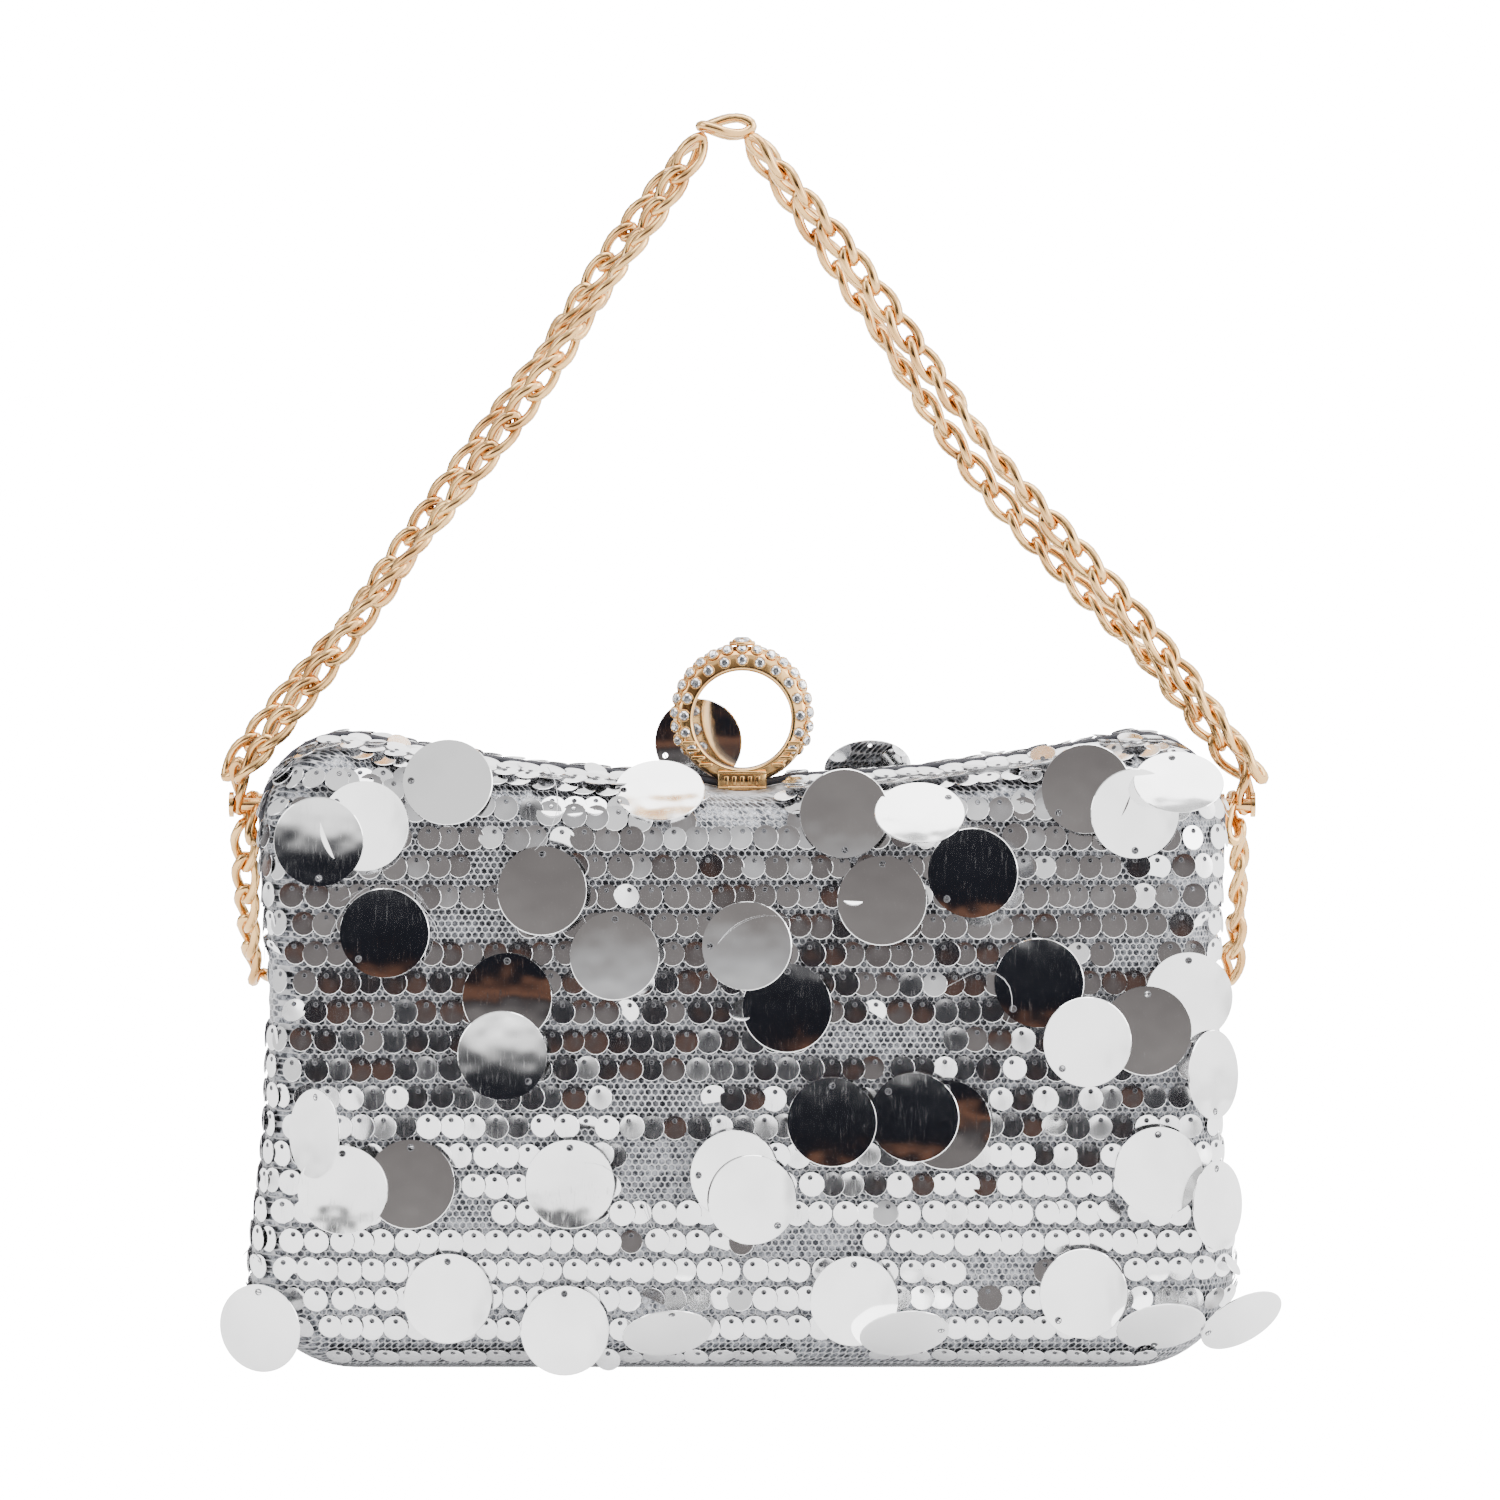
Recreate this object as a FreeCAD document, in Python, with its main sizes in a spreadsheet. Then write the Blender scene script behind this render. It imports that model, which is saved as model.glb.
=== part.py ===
import FreeCAD, Part
import math
import os
import re
import Sketcher

# Evening bag: a hard box clutch in two halves, hinged under its base, with a finger-ring clasp and a
# doubled chain strap. Millimetres. X to the right, Y to the back, Z up. The origin is the middle of
# the base, on the plane where the two halves meet.

doc = FreeCAD.newDocument("EveningBag")

# ---------------------------------------------------------------- driving dimensions
sizes = {
    # outline of the closed bag, seen from the front
    "bag_width": 196.0,
    "bag_depth": 54.0,
    "top_middle": 118.0,
    "top_arc_radius": 380.0,
    "ear_radius": 16.0,
    "base_radius": 20.0,
    "face_radius": 12.0,
    "rim_gap": 0.4,
    # layers of the wall, each from its outer to its inner face, measured inwards
    "cover_out": 0.0,
    "cover_in": 1.5,
    "padding_out": 1.6,
    "padding_in": 3.5,
    "shell_out": 3.6,
    "shell_in": 5.6,
    "lining_out": 5.7,
    "lining_in": 6.5,
    # slot for the hinge under the bag, and notch for the clasp in its top
    "slot_half": 2.8,
    "slot_top": 5.65,
    "notch_half_x": 6.5,
    "notch_half_y": 6.0,
    "notch_floor": 109.0,
    # piano hinge
    "hinge_length": 150.0,
    "hinge_axis_z": 3.7,
    "knuckle_radius": 1.9,
    "knuckle_bore": 0.84,
    "knuckle_gap": 0.2,
    "hinge_pin_radius": 0.78,
    "leaf_thickness": 0.8,
    "leaf_start": 2.1,
    "leaf_reach": 11.0,
    "rivet_y": 7.5,
    "rivet_radius": 1.0,
    "rivet_hole_radius": 1.05,
    "tape_thickness": 0.8,
    "tape_half": 2.6,
    # clasp
    "finger_radius": 10.0,
    "ring_radius": 14.0,
    "ring_rise": 0.9,
    "ring_band": 7.0,
    "ring_round": 1.8,
    "ring_play": 0.02,
    "ring_centre_z": 130.8,
    "foot_half_x": 5.0,
    "foot_half_y": 4.0,
    "foot_bottom": 116.5,
    "pivot_y": 3.2,
    "pivot_z": 113.5,
    "clasp_pin_radius": 0.8,
    "clasp_bore": 0.85,
    "ear_bore": 0.83,
    "lug_half_x": 3.0,
    "lug_front": 1.4,
    "lug_back": 5.0,
    "lug_bottom": 111.7,
    "lip_front": 4.0,
    "lip_back": 2.6,
    "lip_bottom": 114.15,
    "seat_ear_inner": 3.2,
    "seat_ear_outer": 5.2,
    "seat_ear_back": 5.9,
    "seat_ear_top": 115.5,
    "seat_plate_start": 5.2,
    "seat_plate_half_x": 9.0,
    "seat_plate_reach": 14.0,
    "seat_plate_bottom": 109.9,
    "seat_plate_top": 111.4,
    "seat_screw_x": 7.2,
    "seat_screw_y": 11.5,
    "seat_screw_radius": 0.9,
    "seat_screw_hole": 1.0,
    "seat_screw_head": 1.7,
    "striker_half_x": 3.4,
    "striker_front": 2.4,
    "striker_back": 1.0,
    "striker_top": 114.0,
    "spring_thickness": 0.35,
    "spring_half_x": 2.4,
    "spring_y": 5.12,
    # crystals
    "stone_radius": 1.2,
    "stone_height": 0.9,
    "stone_ring": 12.1,
    "top_stone_radius": 2.3,
    "top_stone_height": 2.1,
    # soft pieces inside
    "gusset_outer_x": 91.2,
    "gusset_fold_x": 85.2,
    "gusset_half_y": 15.5,
    "gusset_thickness": 0.9,
    "gusset_bottom": 21.0,
    "gusset_top": 104.0,
    "pocket_half_x": 50.0,
    "pocket_bottom": 28.0,
    "pocket_top": 84.0,
    "pocket_front": 14.7,
    "pocket_back": 20.4,
    "pocket_wall": 0.8,
    # strap
    "stud_y": 6.0,
    "stud_z": 113.0,
    "stud_radius": 1.3,
    "stud_length": 6.2,
    "stud_head_radius": 2.6,
    "stud_head_length": 0.9,
    "stud_plate_radius": 4.5,
    "stud_plate_thickness": 0.8,
    "strap_ring_bore": 1.36,
    "strap_ring_radius": 3.6,
    "strap_ring_thickness": 1.6,
    "link_length": 11.3,
    "link_width": 6.0,
    "link_wire": 1.7,
    "link_slack": 0.25,
    # paillettes
    "paillette_radius": 9.0,
    "paillette_thickness": 0.3,
    "paillette_hole": 0.6,
    "paillette_hole_inset": 1.5,
    "paillette_lift": 0.6,
    "paillette_step": 0.45,
}

sheet = doc.addObject("Spreadsheet::Sheet", "Sizes")
for row, (alias, value) in enumerate(sizes.items(), start=1):
    sheet.set(f"A{row}", alias)
    sheet.set(f"B{row}", str(value))
    sheet.setAlias(f"B{row}", alias)
doc.recompute()


def size(alias):
    return float(sheet.get(alias))


def bound(text):
    """The same sum with each size's name written as a cell of the sheet."""
    return re.sub(r"[a-z_]+", lambda m: f"Sizes.{m[0]}" if m[0] in sizes else m[0], text)


def bind(obj, **sums):
    for name, text in sums.items():
        obj.setExpression(name.replace("__", "."), bound(text))


# ---------------------------------------------------------------- helpers for Part primitives
subparts = []


def keep(obj, label):
    obj.Label = label
    subparts.append(obj)
    return obj


def box(name, low, high):
    """A block between two corners, each given as three sums of the sheet's sizes."""
    obj = doc.addObject("Part::Box", name)
    bind(
        obj,
        Length=f"({high[0]}) - ({low[0]})",
        Width=f"({high[1]}) - ({low[1]})",
        Height=f"({high[2]}) - ({low[2]})",
        Placement__Base__x=low[0],
        Placement__Base__y=low[1],
        Placement__Base__z=low[2],
    )
    return obj


turns = {
    "X": FreeCAD.Rotation(FreeCAD.Vector(0, 1, 0), 90),
    "Y": FreeCAD.Rotation(FreeCAD.Vector(1, 0, 0), -90),
    "Z": FreeCAD.Rotation(),
}


def rod(name, along, start, radius, length):
    """A round bar from a starting point along an axis, its places and sizes as sums."""
    obj = doc.addObject("Part::Cylinder", name)
    obj.Placement = FreeCAD.Placement(FreeCAD.Vector(), turns[along])
    bind(
        obj,
        Radius=radius,
        Height=length,
        Placement__Base__x=start[0],
        Placement__Base__y=start[1],
        Placement__Base__z=start[2],
    )
    return obj


def fuse(name, *pieces):
    obj = doc.addObject("Part::MultiFuse", name)
    obj.Shapes = list(pieces)
    obj.Refine = True
    return obj


def cut(name, base, *tools):
    obj = doc.addObject("Part::Cut", name)
    obj.Base = base
    obj.Tool = tools[0] if len(tools) == 1 else fuse(name + "Tools", *tools)
    return obj


def group(name, *pieces):
    obj = doc.addObject("Part::Compound", name)
    obj.Links = list(pieces)
    return obj


# ---------------------------------------------------------------- outline of the bag
def ear_centre_z():
    """Height of the ear arcs' centres, where they touch the hollow top arc."""
    reach = size("top_arc_radius") + size("ear_radius")
    run = size("bag_width") / 2 - size("ear_radius")
    return size("top_middle") + size("top_arc_radius") - math.sqrt(reach**2 - run**2)


def outline_geometry(inset):
    """Eight touching lines and arcs, counterclockwise from the base, as sketch geometry."""
    up = FreeCAD.Vector(0, 0, 1)
    half = size("bag_width") / 2 - inset
    base_x = size("bag_width") / 2 - size("base_radius")
    base_z = size("base_radius")
    ear_x = size("bag_width") / 2 - size("ear_radius")
    ear_z = ear_centre_z()
    top_z = size("top_middle") + size("top_arc_radius")
    turn = math.atan2(top_z - ear_z, -ear_x)
    base_r = size("base_radius") - inset
    ear_r = size("ear_radius") - inset
    top_r = size("top_arc_radius") + inset

    def line(x1, z1, x2, z2):
        return Part.LineSegment(FreeCAD.Vector(x1, z1), FreeCAD.Vector(x2, z2))

    def arc(x, z, radius, start, end):
        return Part.ArcOfCircle(Part.Circle(FreeCAD.Vector(x, z), up, radius), start, end)

    return [
        line(-base_x, inset, base_x, inset),
        arc(base_x, base_z, base_r, -math.pi / 2, 0),
        line(half, base_z, half, ear_z),
        arc(ear_x, ear_z, ear_r, 0, turn),
        arc(0, top_z, top_r, -turn, turn - math.pi),
        arc(-ear_x, ear_z, ear_r, math.pi - turn, math.pi),
        line(-half, ear_z, -half, base_z),
        arc(-base_x, base_z, base_r, math.pi, math.pi * 3 / 2),
    ]


def draw_outline(sketch, inset_alias):
    sketch.addGeometry(outline_geometry(size(inset_alias)), False)
    # which ends meet: 1 is a start, 2 is an end, in the sketch's own order of edges
    for here, there in ((0, 1), (1, 2), (2, 3), (5, 6), (6, 7), (7, 0)):
        sketch.addConstraint(Sketcher.Constraint("Tangent", here, 2, there, 1))
    sketch.addConstraint(Sketcher.Constraint("Tangent", 3, 2, 4, 2))
    sketch.addConstraint(Sketcher.Constraint("Tangent", 4, 1, 5, 1))
    sketch.addConstraint(Sketcher.Constraint("Horizontal", 0))
    sketch.addConstraint(Sketcher.Constraint("Vertical", 2))
    sketch.addConstraint(Sketcher.Constraint("Vertical", 6))
    sketch.addConstraint(Sketcher.Constraint("PointOnObject", 4, 3, -2))
    inset = size(inset_alias)
    half = size("bag_width") / 2 - inset
    driven = {
        "right_half": (("DistanceX", -1, 1, 2, 1), half, f"bag_width / 2 - {inset_alias}"),
        "left_half": (("DistanceX", 6, 1, -1, 1), half, f"bag_width / 2 - {inset_alias}"),
        "base_right": (("Radius", 1), size("base_radius") - inset, f"base_radius - {inset_alias}"),
        "base_left": (("Radius", 7), size("base_radius") - inset, f"base_radius - {inset_alias}"),
        "ear_right": (("Radius", 3), size("ear_radius") - inset, f"ear_radius - {inset_alias}"),
        "ear_left": (("Radius", 5), size("ear_radius") - inset, f"ear_radius - {inset_alias}"),
        "top_arc": (("Radius", 4), size("top_arc_radius") + inset, f"top_arc_radius + {inset_alias}"),
        "top_centre": (
            ("DistanceY", -1, 1, 4, 3),
            size("top_middle") + size("top_arc_radius"),
            "top_middle + top_arc_radius",
        ),
    }
    if inset == 0:
        sketch.addConstraint(Sketcher.Constraint("PointOnObject", 0, 1, -1))
    else:
        driven["base_level"] = (("DistanceY", -1, 1, 0, 1), inset, inset_alias)
    for name, (what, value, text) in driven.items():
        index = sketch.addConstraint(Sketcher.Constraint(*what, value))
        sketch.renameConstraint(index, name)
        sketch.setExpression(f"Constraints.{name}", bound(text))


# ---------------------------------------------------------------- trays: each layer of a half
def plane_of(body, role):
    return next(o for o in body.Origin.OriginFeatures if o.Role == role)


def sketch_on(body, role, name, offset=None):
    sketch = body.newObject("Sketcher::SketchObject", name)
    sketch.AttachmentSupport = [(plane_of(body, role), "")]
    sketch.MapMode = "FlatFace"
    if offset:
        sketch.setExpression("AttachmentOffset.Base.z", bound(offset))
    return sketch


def edges_at(shape, y):
    """The edges that lie in the plane at this depth."""
    names = []
    for number, edge in enumerate(shape.Edges, start=1):
        span = edge.BoundBox
        if abs(span.YMin - y) < 1e-4 and abs(span.YMax - y) < 1e-4:
            names.append(f"Edge{number}")
    return names


def half_block(name, side, inset, rim):
    """A solid half of the bag inside one inset, its face edges rounded. side is -1 front, 1 back."""
    body = doc.addObject("PartDesign::Body", name)
    outline = sketch_on(body, "XZ_Plane", name + "_outline", f"{-side} * {rim}")
    draw_outline(outline, inset)
    pad = body.newObject("PartDesign::Pad", name + "_pad")
    pad.Profile = outline
    pad.Reversed = side > 0
    pad.setExpression("Length", bound(f"bag_depth / 2 - {inset} - {rim}"))
    doc.recompute()
    face = side * (size("bag_depth") / 2 - size(inset))
    fillet = body.newObject("PartDesign::Fillet", name + "_face_round")
    fillet.Base = (pad, edges_at(pad.Shape, face))
    fillet.setExpression("Radius", bound(f"face_radius - {inset}"))
    doc.recompute()
    return body


def across(side, near, far):
    """The low and high sums of a span that goes away from the middle, to one side."""
    return (near, far) if side > 0 else (f"-({far})", f"-({near})")


def tray(half, side, layer, *holes):
    """One layer of one half: a dish open at the rim, with the hinge's slot and the clasp's notch."""
    name = f"{half}_{layer}"
    notch_low, notch_high = across(side, "0", "notch_half_y")
    tools = [
        half_block(name + "_hollow", side, layer + "_in", "0"),
        box(name + "_notch", ("-notch_half_x", notch_low, "notch_floor"),
            ("notch_half_x", notch_high, "bag_width")),
    ]
    if layer != "lining":
        slot_low, slot_high = across(side, "0", "slot_half")
        tools.append(
            box(name + "_slot", ("-bag_width", slot_low, "-1"), ("bag_width", slot_high, "slot_top"))
        )
    block = half_block(name + "_block", side, layer + "_out", "rim_gap")
    return keep(cut(name, block, *tools, *holes), name)


def screw_rods(name, side, radius, low, high):
    """The pair of upright round bars at a bracket's screws."""
    return [
        rod(f"{name}_{k}", "Z", (f"{x} * seat_screw_x", f"{side} * seat_screw_y", low), radius,
            f"({high}) - ({low})")
        for k, x in enumerate((-1, 1))
    ]


sides = {"front": -1, "back": 1}
rivet_x = (-60.0, -20.0, 20.0, 60.0)
for half, side in sides.items():
    tray(half, side, "cover")
    tray(half, side, "padding")
    screw_span = ("seat_plate_bottom", "striker_top + rim_gap")
    recess_low, recess_high = across(side, "0", "leaf_reach + knuckle_gap")
    recess = box(
        half + "_recess",
        ("-hinge_length / 2 - knuckle_gap", recess_low, "shell_in - leaf_thickness"),
        ("hinge_length / 2 + knuckle_gap", recess_high, "shell_in + leaf_thickness"),
    )
    rivet_holes = [
        rod(
            f"{half}_rivet_hole_{k}",
            "Z",
            (str(x), f"{side} * rivet_y", "0"),
            "rivet_hole_radius",
            "2 * shell_in",
        )
        for k, x in enumerate(rivet_x)
    ]
    tray(half, side, "shell", recess, *rivet_holes,
         *screw_rods(half + "_shell_screw", side, "seat_screw_hole", *screw_span))
    tray(half, side, "lining",
         *screw_rods(half + "_lining_screw", side, "seat_screw_hole", *screw_span))

# ---------------------------------------------------------------- piano hinge under the bag
knuckles = 5
step = size("hinge_length") / knuckles


def hinge_leaf(half_name, side, owned):
    """A plate on the shell's floor with its own knuckles, bored for the pin."""
    plate_low, plate_high = ("leaf_start", "leaf_reach") if side > 0 else ("-leaf_reach", "-leaf_start")
    plate = box(
        half_name + "_leaf_plate",
        ("-hinge_length / 2", plate_low, "shell_in - leaf_thickness"),
        ("hinge_length / 2", plate_high, "shell_in"),
    )
    pieces = [plate]
    bridge = ("0", "leaf_start") if side > 0 else ("-leaf_start", "0")
    for k in owned:
        start = f"-hinge_length / 2 + {k * step} + knuckle_gap / 2"
        pieces.append(rod(
            f"{half_name}_knuckle_{k}", "X", (start, "0", "hinge_axis_z"),
            "knuckle_radius", f"{step} - knuckle_gap",
        ))
        pieces.append(box(
            f"{half_name}_bridge_{k}",
            (start, bridge[0], "shell_in - leaf_thickness"),
            (f"{start} + {step} - knuckle_gap", bridge[1], "shell_in"),
        ))
    tools = [rod(
        half_name + "_leaf_bore", "X", ("-hinge_length", "0", "hinge_axis_z"),
        "knuckle_bore", "2 * hinge_length",
    )]
    for k, x in enumerate(rivet_x):
        tools.append(rod(
            f"{half_name}_leaf_hole_{k}", "Z", (str(x), f"{side} * rivet_y", "0"),
            "rivet_hole_radius", "2 * shell_in",
        ))
    keep(cut(half_name + "_leaf", fuse(half_name + "_leaf_body", *pieces), *tools), f"hinge_leaf_{half_name}")
    rivets = [
        rod(f"{half_name}_rivet_{k}", "Z", (str(x), f"{side} * rivet_y", "shell_out"),
            "rivet_radius", "shell_in - shell_out")
        for k, x in enumerate(rivet_x)
    ]
    keep(group(half_name + "_rivets", *rivets), f"hinge_rivets_{half_name}")


hinge_leaf("back", 1, (0, 2, 4))
hinge_leaf("front", -1, (1, 3))
keep(rod("hinge_pin_rod", "X", ("-hinge_length / 2", "0", "hinge_axis_z"), "hinge_pin_radius",
         "hinge_length"), "hinge_pin")
keep(box("hinge_tape_strip", ("-bag_width / 2 + base_radius", "-tape_half", "0"),
         ("bag_width / 2 - base_radius", "tape_half", "tape_thickness")), "hinge_tape")

# ---------------------------------------------------------------- clasp: ring, seat, pin, striker
band = rod("ring_band_disc", "Y", ("0", "-ring_band / 2", "ring_centre_z + ring_rise"),
           "ring_radius", "ring_band")
doc.recompute()
rounded_band = doc.addObject("Part::Fillet", "ring_band_rounded")
rounded_band.Base = band
circles = [n for n, e in enumerate(band.Shape.Edges, start=1) if len(e.Vertexes) == 1]
rounded_band.Edges = [(n, size("ring_round"), size("ring_round")) for n in circles]
finger_hole = rod("finger_hole", "Y", ("0", "-ring_band", "ring_centre_z"), "finger_radius", "2 * ring_band")
keep(cut("ring_casting", rounded_band, finger_hole), "clasp_ring")
foot_blank = fuse(
    "foot_blank",
    box("foot_block", ("-foot_half_x", "-foot_half_y", "foot_bottom"),
        ("foot_half_x", "foot_half_y", "ring_centre_z - finger_radius + ring_rise")),
    box("foot_lug", ("-lug_half_x", "lug_front", "lug_bottom"),
        ("lug_half_x", "lug_back", "foot_bottom")),
    box("foot_lip", ("-lug_half_x", "-lip_front", "lip_bottom"),
        ("lug_half_x", "-lip_back", "foot_bottom + ring_rise")),
)
keep(
    cut(
        "foot_casting", foot_blank,
        rod("foot_saddle", "Y", ("0", "-ring_band", "ring_centre_z + ring_rise"), "ring_radius + ring_play",
            "2 * ring_band"),
        rod("foot_pin_bore", "X", ("-foot_half_x", "pivot_y", "pivot_z"), "clasp_bore", "2 * foot_half_x"),
    ),
    "clasp_foot",
)
ears = [
    box(f"seat_ear_{k}", (low, "lug_front", "seat_plate_bottom"), (high, "seat_ear_back", "seat_ear_top"))
    for k, (low, high) in enumerate(
        (("-seat_ear_outer", "-seat_ear_inner"), ("seat_ear_inner", "seat_ear_outer"))
    )
]


def clasp_plate(name, start, reach):
    return box(name, ("-seat_plate_half_x", start, "seat_plate_bottom"),
               ("seat_plate_half_x", reach, "seat_plate_top"))


keep(
    cut(
        "seat_bracket",
        fuse("seat_blank", clasp_plate("seat_plate", "seat_plate_start", "seat_plate_reach"), *ears),
        rod("seat_pin_bore", "X", ("-foot_half_x * 2", "pivot_y", "pivot_z"), "ear_bore", "4 * foot_half_x"),
        *screw_rods("seat_hole", 1, "seat_screw_hole", "rim_gap", "striker_top"),
    ),
    "clasp_seat",
)
striker_post = box("striker_post", ("-striker_half_x", "-striker_front", "seat_plate_bottom"),
                   ("striker_half_x", "-striker_back", "striker_top"))
keep(
    cut(
        "striker_bracket",
        fuse(
            "striker_blank",
            clasp_plate("striker_plate", "-seat_plate_reach", "-striker_back"),
            striker_post,
        ),
        *screw_rods("striker_hole", -1, "seat_screw_hole", "rim_gap", "striker_top"),
    ),
    "clasp_striker",
)
for label, side in (("clasp_seat_screws", 1), ("striker_screws", -1)):
    shanks = screw_rods(label + "_shank", side, "seat_screw_radius", "seat_plate_bottom", "striker_top")
    heads = screw_rods(label + "_head", side, "seat_screw_head", "notch_floor", "seat_plate_bottom")
    keep(group(label + "_pair", *[fuse(f"{label}_{k}", s, h) for k, (s, h) in enumerate(zip(shanks, heads))]),
         label)
keep(rod("clasp_pin_rod", "X", ("-seat_ear_outer", "pivot_y", "pivot_z"), "clasp_pin_radius",
         "2 * seat_ear_outer"), "clasp_pin")
keep(box("clasp_leaf_spring", ("-spring_half_x", "spring_y", "seat_plate_top"),
         ("spring_half_x", "spring_y + spring_thickness", "foot_bottom")), "clasp_spring")

# ---------------------------------------------------------------- crystals of the ring
face_angles = [-35 + 20 * k for k in range(13)]
rim_angles = [-22 + 16 * k for k in range(15) if k != 7]


def stone(centre, direction):
    """A low round stone that stands on the metal."""
    return Part.makeCylinder(size("stone_radius"), size("stone_height"), centre, direction)


def solid_group(label, solids):
    obj = doc.addObject("Part::Feature", label)
    obj.Shape = Part.makeCompound(solids)
    obj.Placement = FreeCAD.Placement()
    return keep(obj, label)


def around(angle, radius, y, lift=0.0):
    turn = math.radians(angle)
    z = size("ring_centre_z") + lift
    return FreeCAD.Vector(radius * math.cos(turn), y, z + radius * math.sin(turn))


front_stones = [
    stone(around(a, size("stone_ring"), -size("ring_band") / 2 - 0.01), FreeCAD.Vector(0, -1, 0))
    for a in face_angles
]
solid_group("ring_face_crystals", front_stones)
rim_stones = [
    stone(around(a, size("ring_radius") + 0.08, 0, size("ring_rise")), around(a, 1, 0) - around(a, 0, 0))
    for a in rim_angles
]
solid_group("ring_rim_crystals", rim_stones)
top = around(90, size("ring_radius") + 0.22, 0, size("ring_rise"))
top_stone = Part.makeCone(size("top_stone_radius"), size("top_stone_radius") / 2,
                          size("top_stone_height"), top, FreeCAD.Vector(0, 0, 1))
solid_group("ring_top_crystal", [top_stone])

# ---------------------------------------------------------------- gussets and pocket
for label, side in (("gusset_left", -1), ("gusset_right", 1)):
    x_out, x_in = size("gusset_outer_x"), size("gusset_fold_x")
    y, wall = size("gusset_half_y"), size("gusset_thickness")
    places = [(x_out, -y), (x_in, 0), (x_out, y), (x_out - wall, y), (x_in - wall, 0), (x_out - wall, -y)]
    body = doc.addObject("PartDesign::Body", label)
    fold = sketch_on(body, "XY_Plane", label + "_fold", "gusset_bottom")
    for k, (x, depth) in enumerate(places):
        x2, depth2 = places[(k + 1) % len(places)]
        fold.addGeometry(
            Part.LineSegment(FreeCAD.Vector(side * x, depth), FreeCAD.Vector(side * x2, depth2)), False
        )
        fold.addConstraint(Sketcher.Constraint("Block", k))
    pad = body.newObject("PartDesign::Pad", label + "_sheet")
    pad.Profile = fold
    pad.setExpression("Length", bound("gusset_top - gusset_bottom"))
    keep(body, label)

keep(
    cut(
        "pocket_sleeve",
        box("pocket_outer", ("-pocket_half_x", "pocket_front", "pocket_bottom"),
            ("pocket_half_x", "pocket_back", "pocket_top")),
        box("pocket_inner",
            ("-pocket_half_x + pocket_wall", "pocket_front + pocket_wall", "pocket_bottom + pocket_wall"),
            ("pocket_half_x - pocket_wall", "pocket_back + pocket_wall", "pocket_top + pocket_wall")),
    ),
    "lining_pocket",
)

# ---------------------------------------------------------------- strap: studs, rings and chain
for label, side in (("left", -1), ("right", 1)):
    start = "bag_width / 2" if side > 0 else "-bag_width / 2 - stud_length"
    plate_start = "bag_width / 2" if side > 0 else "-bag_width / 2 - stud_plate_thickness"
    head_start = "bag_width / 2 + stud_length"
    if side < 0:
        head_start = "-bag_width / 2 - stud_length - stud_head_length"
    keep(
        fuse(
            f"stud_{label}",
            rod(f"stud_shank_{label}", "X", (start, "stud_y", "stud_z"), "stud_radius", "stud_length"),
            rod(f"stud_plate_{label}", "X", (plate_start, "stud_y", "stud_z - stud_plate_radius / 2"),
                "stud_plate_radius", "stud_plate_thickness"),
            rod(f"stud_head_{label}", "X", (head_start, "stud_y", "stud_z"), "stud_head_radius",
                "stud_head_length"),
        ),
        f"strap_stud_{label}",
    )
    for piece, inner in (("strap", "3.4"), ("loop", "1.4")):
        ring_start = f"bag_width / 2 + {inner}"
        if side < 0:
            ring_start = f"-bag_width / 2 - {inner} - strap_ring_thickness"
        keep(
            cut(
                f"{piece}_ring_{label}_washer",
                rod(f"{piece}_ring_{label}_disc", "X", (ring_start, "stud_y", "stud_z"),
                    "strap_ring_radius", "strap_ring_thickness"),
                rod(f"{piece}_ring_{label}_hole", "X", ("-bag_width", "stud_y", "stud_z"),
                    "strap_ring_bore", "2 * bag_width"),
            ),
            f"{piece}_ring_{label}",
        )


def chain_link():
    """One oval link along X, flat in the XY plane: a round wire bent round two half circles."""
    wire = size("link_wire")
    bend = (size("link_width") - wire) / 2
    half = (size("link_length") - size("link_width")) / 2
    z = FreeCAD.Vector(0, 0, 1)
    path = Part.Wire([
        Part.makeLine(FreeCAD.Vector(-half, -bend, 0), FreeCAD.Vector(half, -bend, 0)),
        Part.makeCircle(bend, FreeCAD.Vector(half, 0, 0), z, -90, 90),
        Part.makeLine(FreeCAD.Vector(half, bend, 0), FreeCAD.Vector(-half, bend, 0)),
        Part.makeCircle(bend, FreeCAD.Vector(-half, 0, 0), z, 90, 270),
    ])
    section = Part.Wire([Part.makeCircle(wire / 2, FreeCAD.Vector(-half, -bend, 0), FreeCAD.Vector(1, 0, 0))])
    return path.makePipeShell([section], True, False)


link_shape = chain_link()
link_pitch = size("link_length") - 2 * size("link_wire") - size("link_slack")


def chain(label, route, start_turn=0.0):
    """Links end to end along a smooth route, each turned a quarter from the last."""
    curve = Part.BSplineCurve()
    curve.interpolate([FreeCAD.Vector(*p) for p in route])
    length = curve.length()
    count = round(length / link_pitch)
    pitch = length / count
    joints = [curve.value(curve.parameterAtDistance(k * pitch)) for k in range(count + 1)]
    links = []
    for k, (a, b) in enumerate(zip(joints, joints[1:])):
        along = (b - a).normalize()
        aside = FreeCAD.Vector(0, 1, 0)
        flat = along.cross(aside).normalize()
        rotation = FreeCAD.Rotation(along, flat.cross(along), flat, "XZY")
        rotation = rotation.multiply(FreeCAD.Rotation(FreeCAD.Vector(1, 0, 0), start_turn + 90 * (k % 2)))
        link = link_shape.copy()
        link.Placement = FreeCAD.Placement((a + b) * 0.5, rotation)
        links.append(link)
    print(f"{label}: {count} links, {length:.0f} mm")
    return solid_group(label, links)


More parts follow.
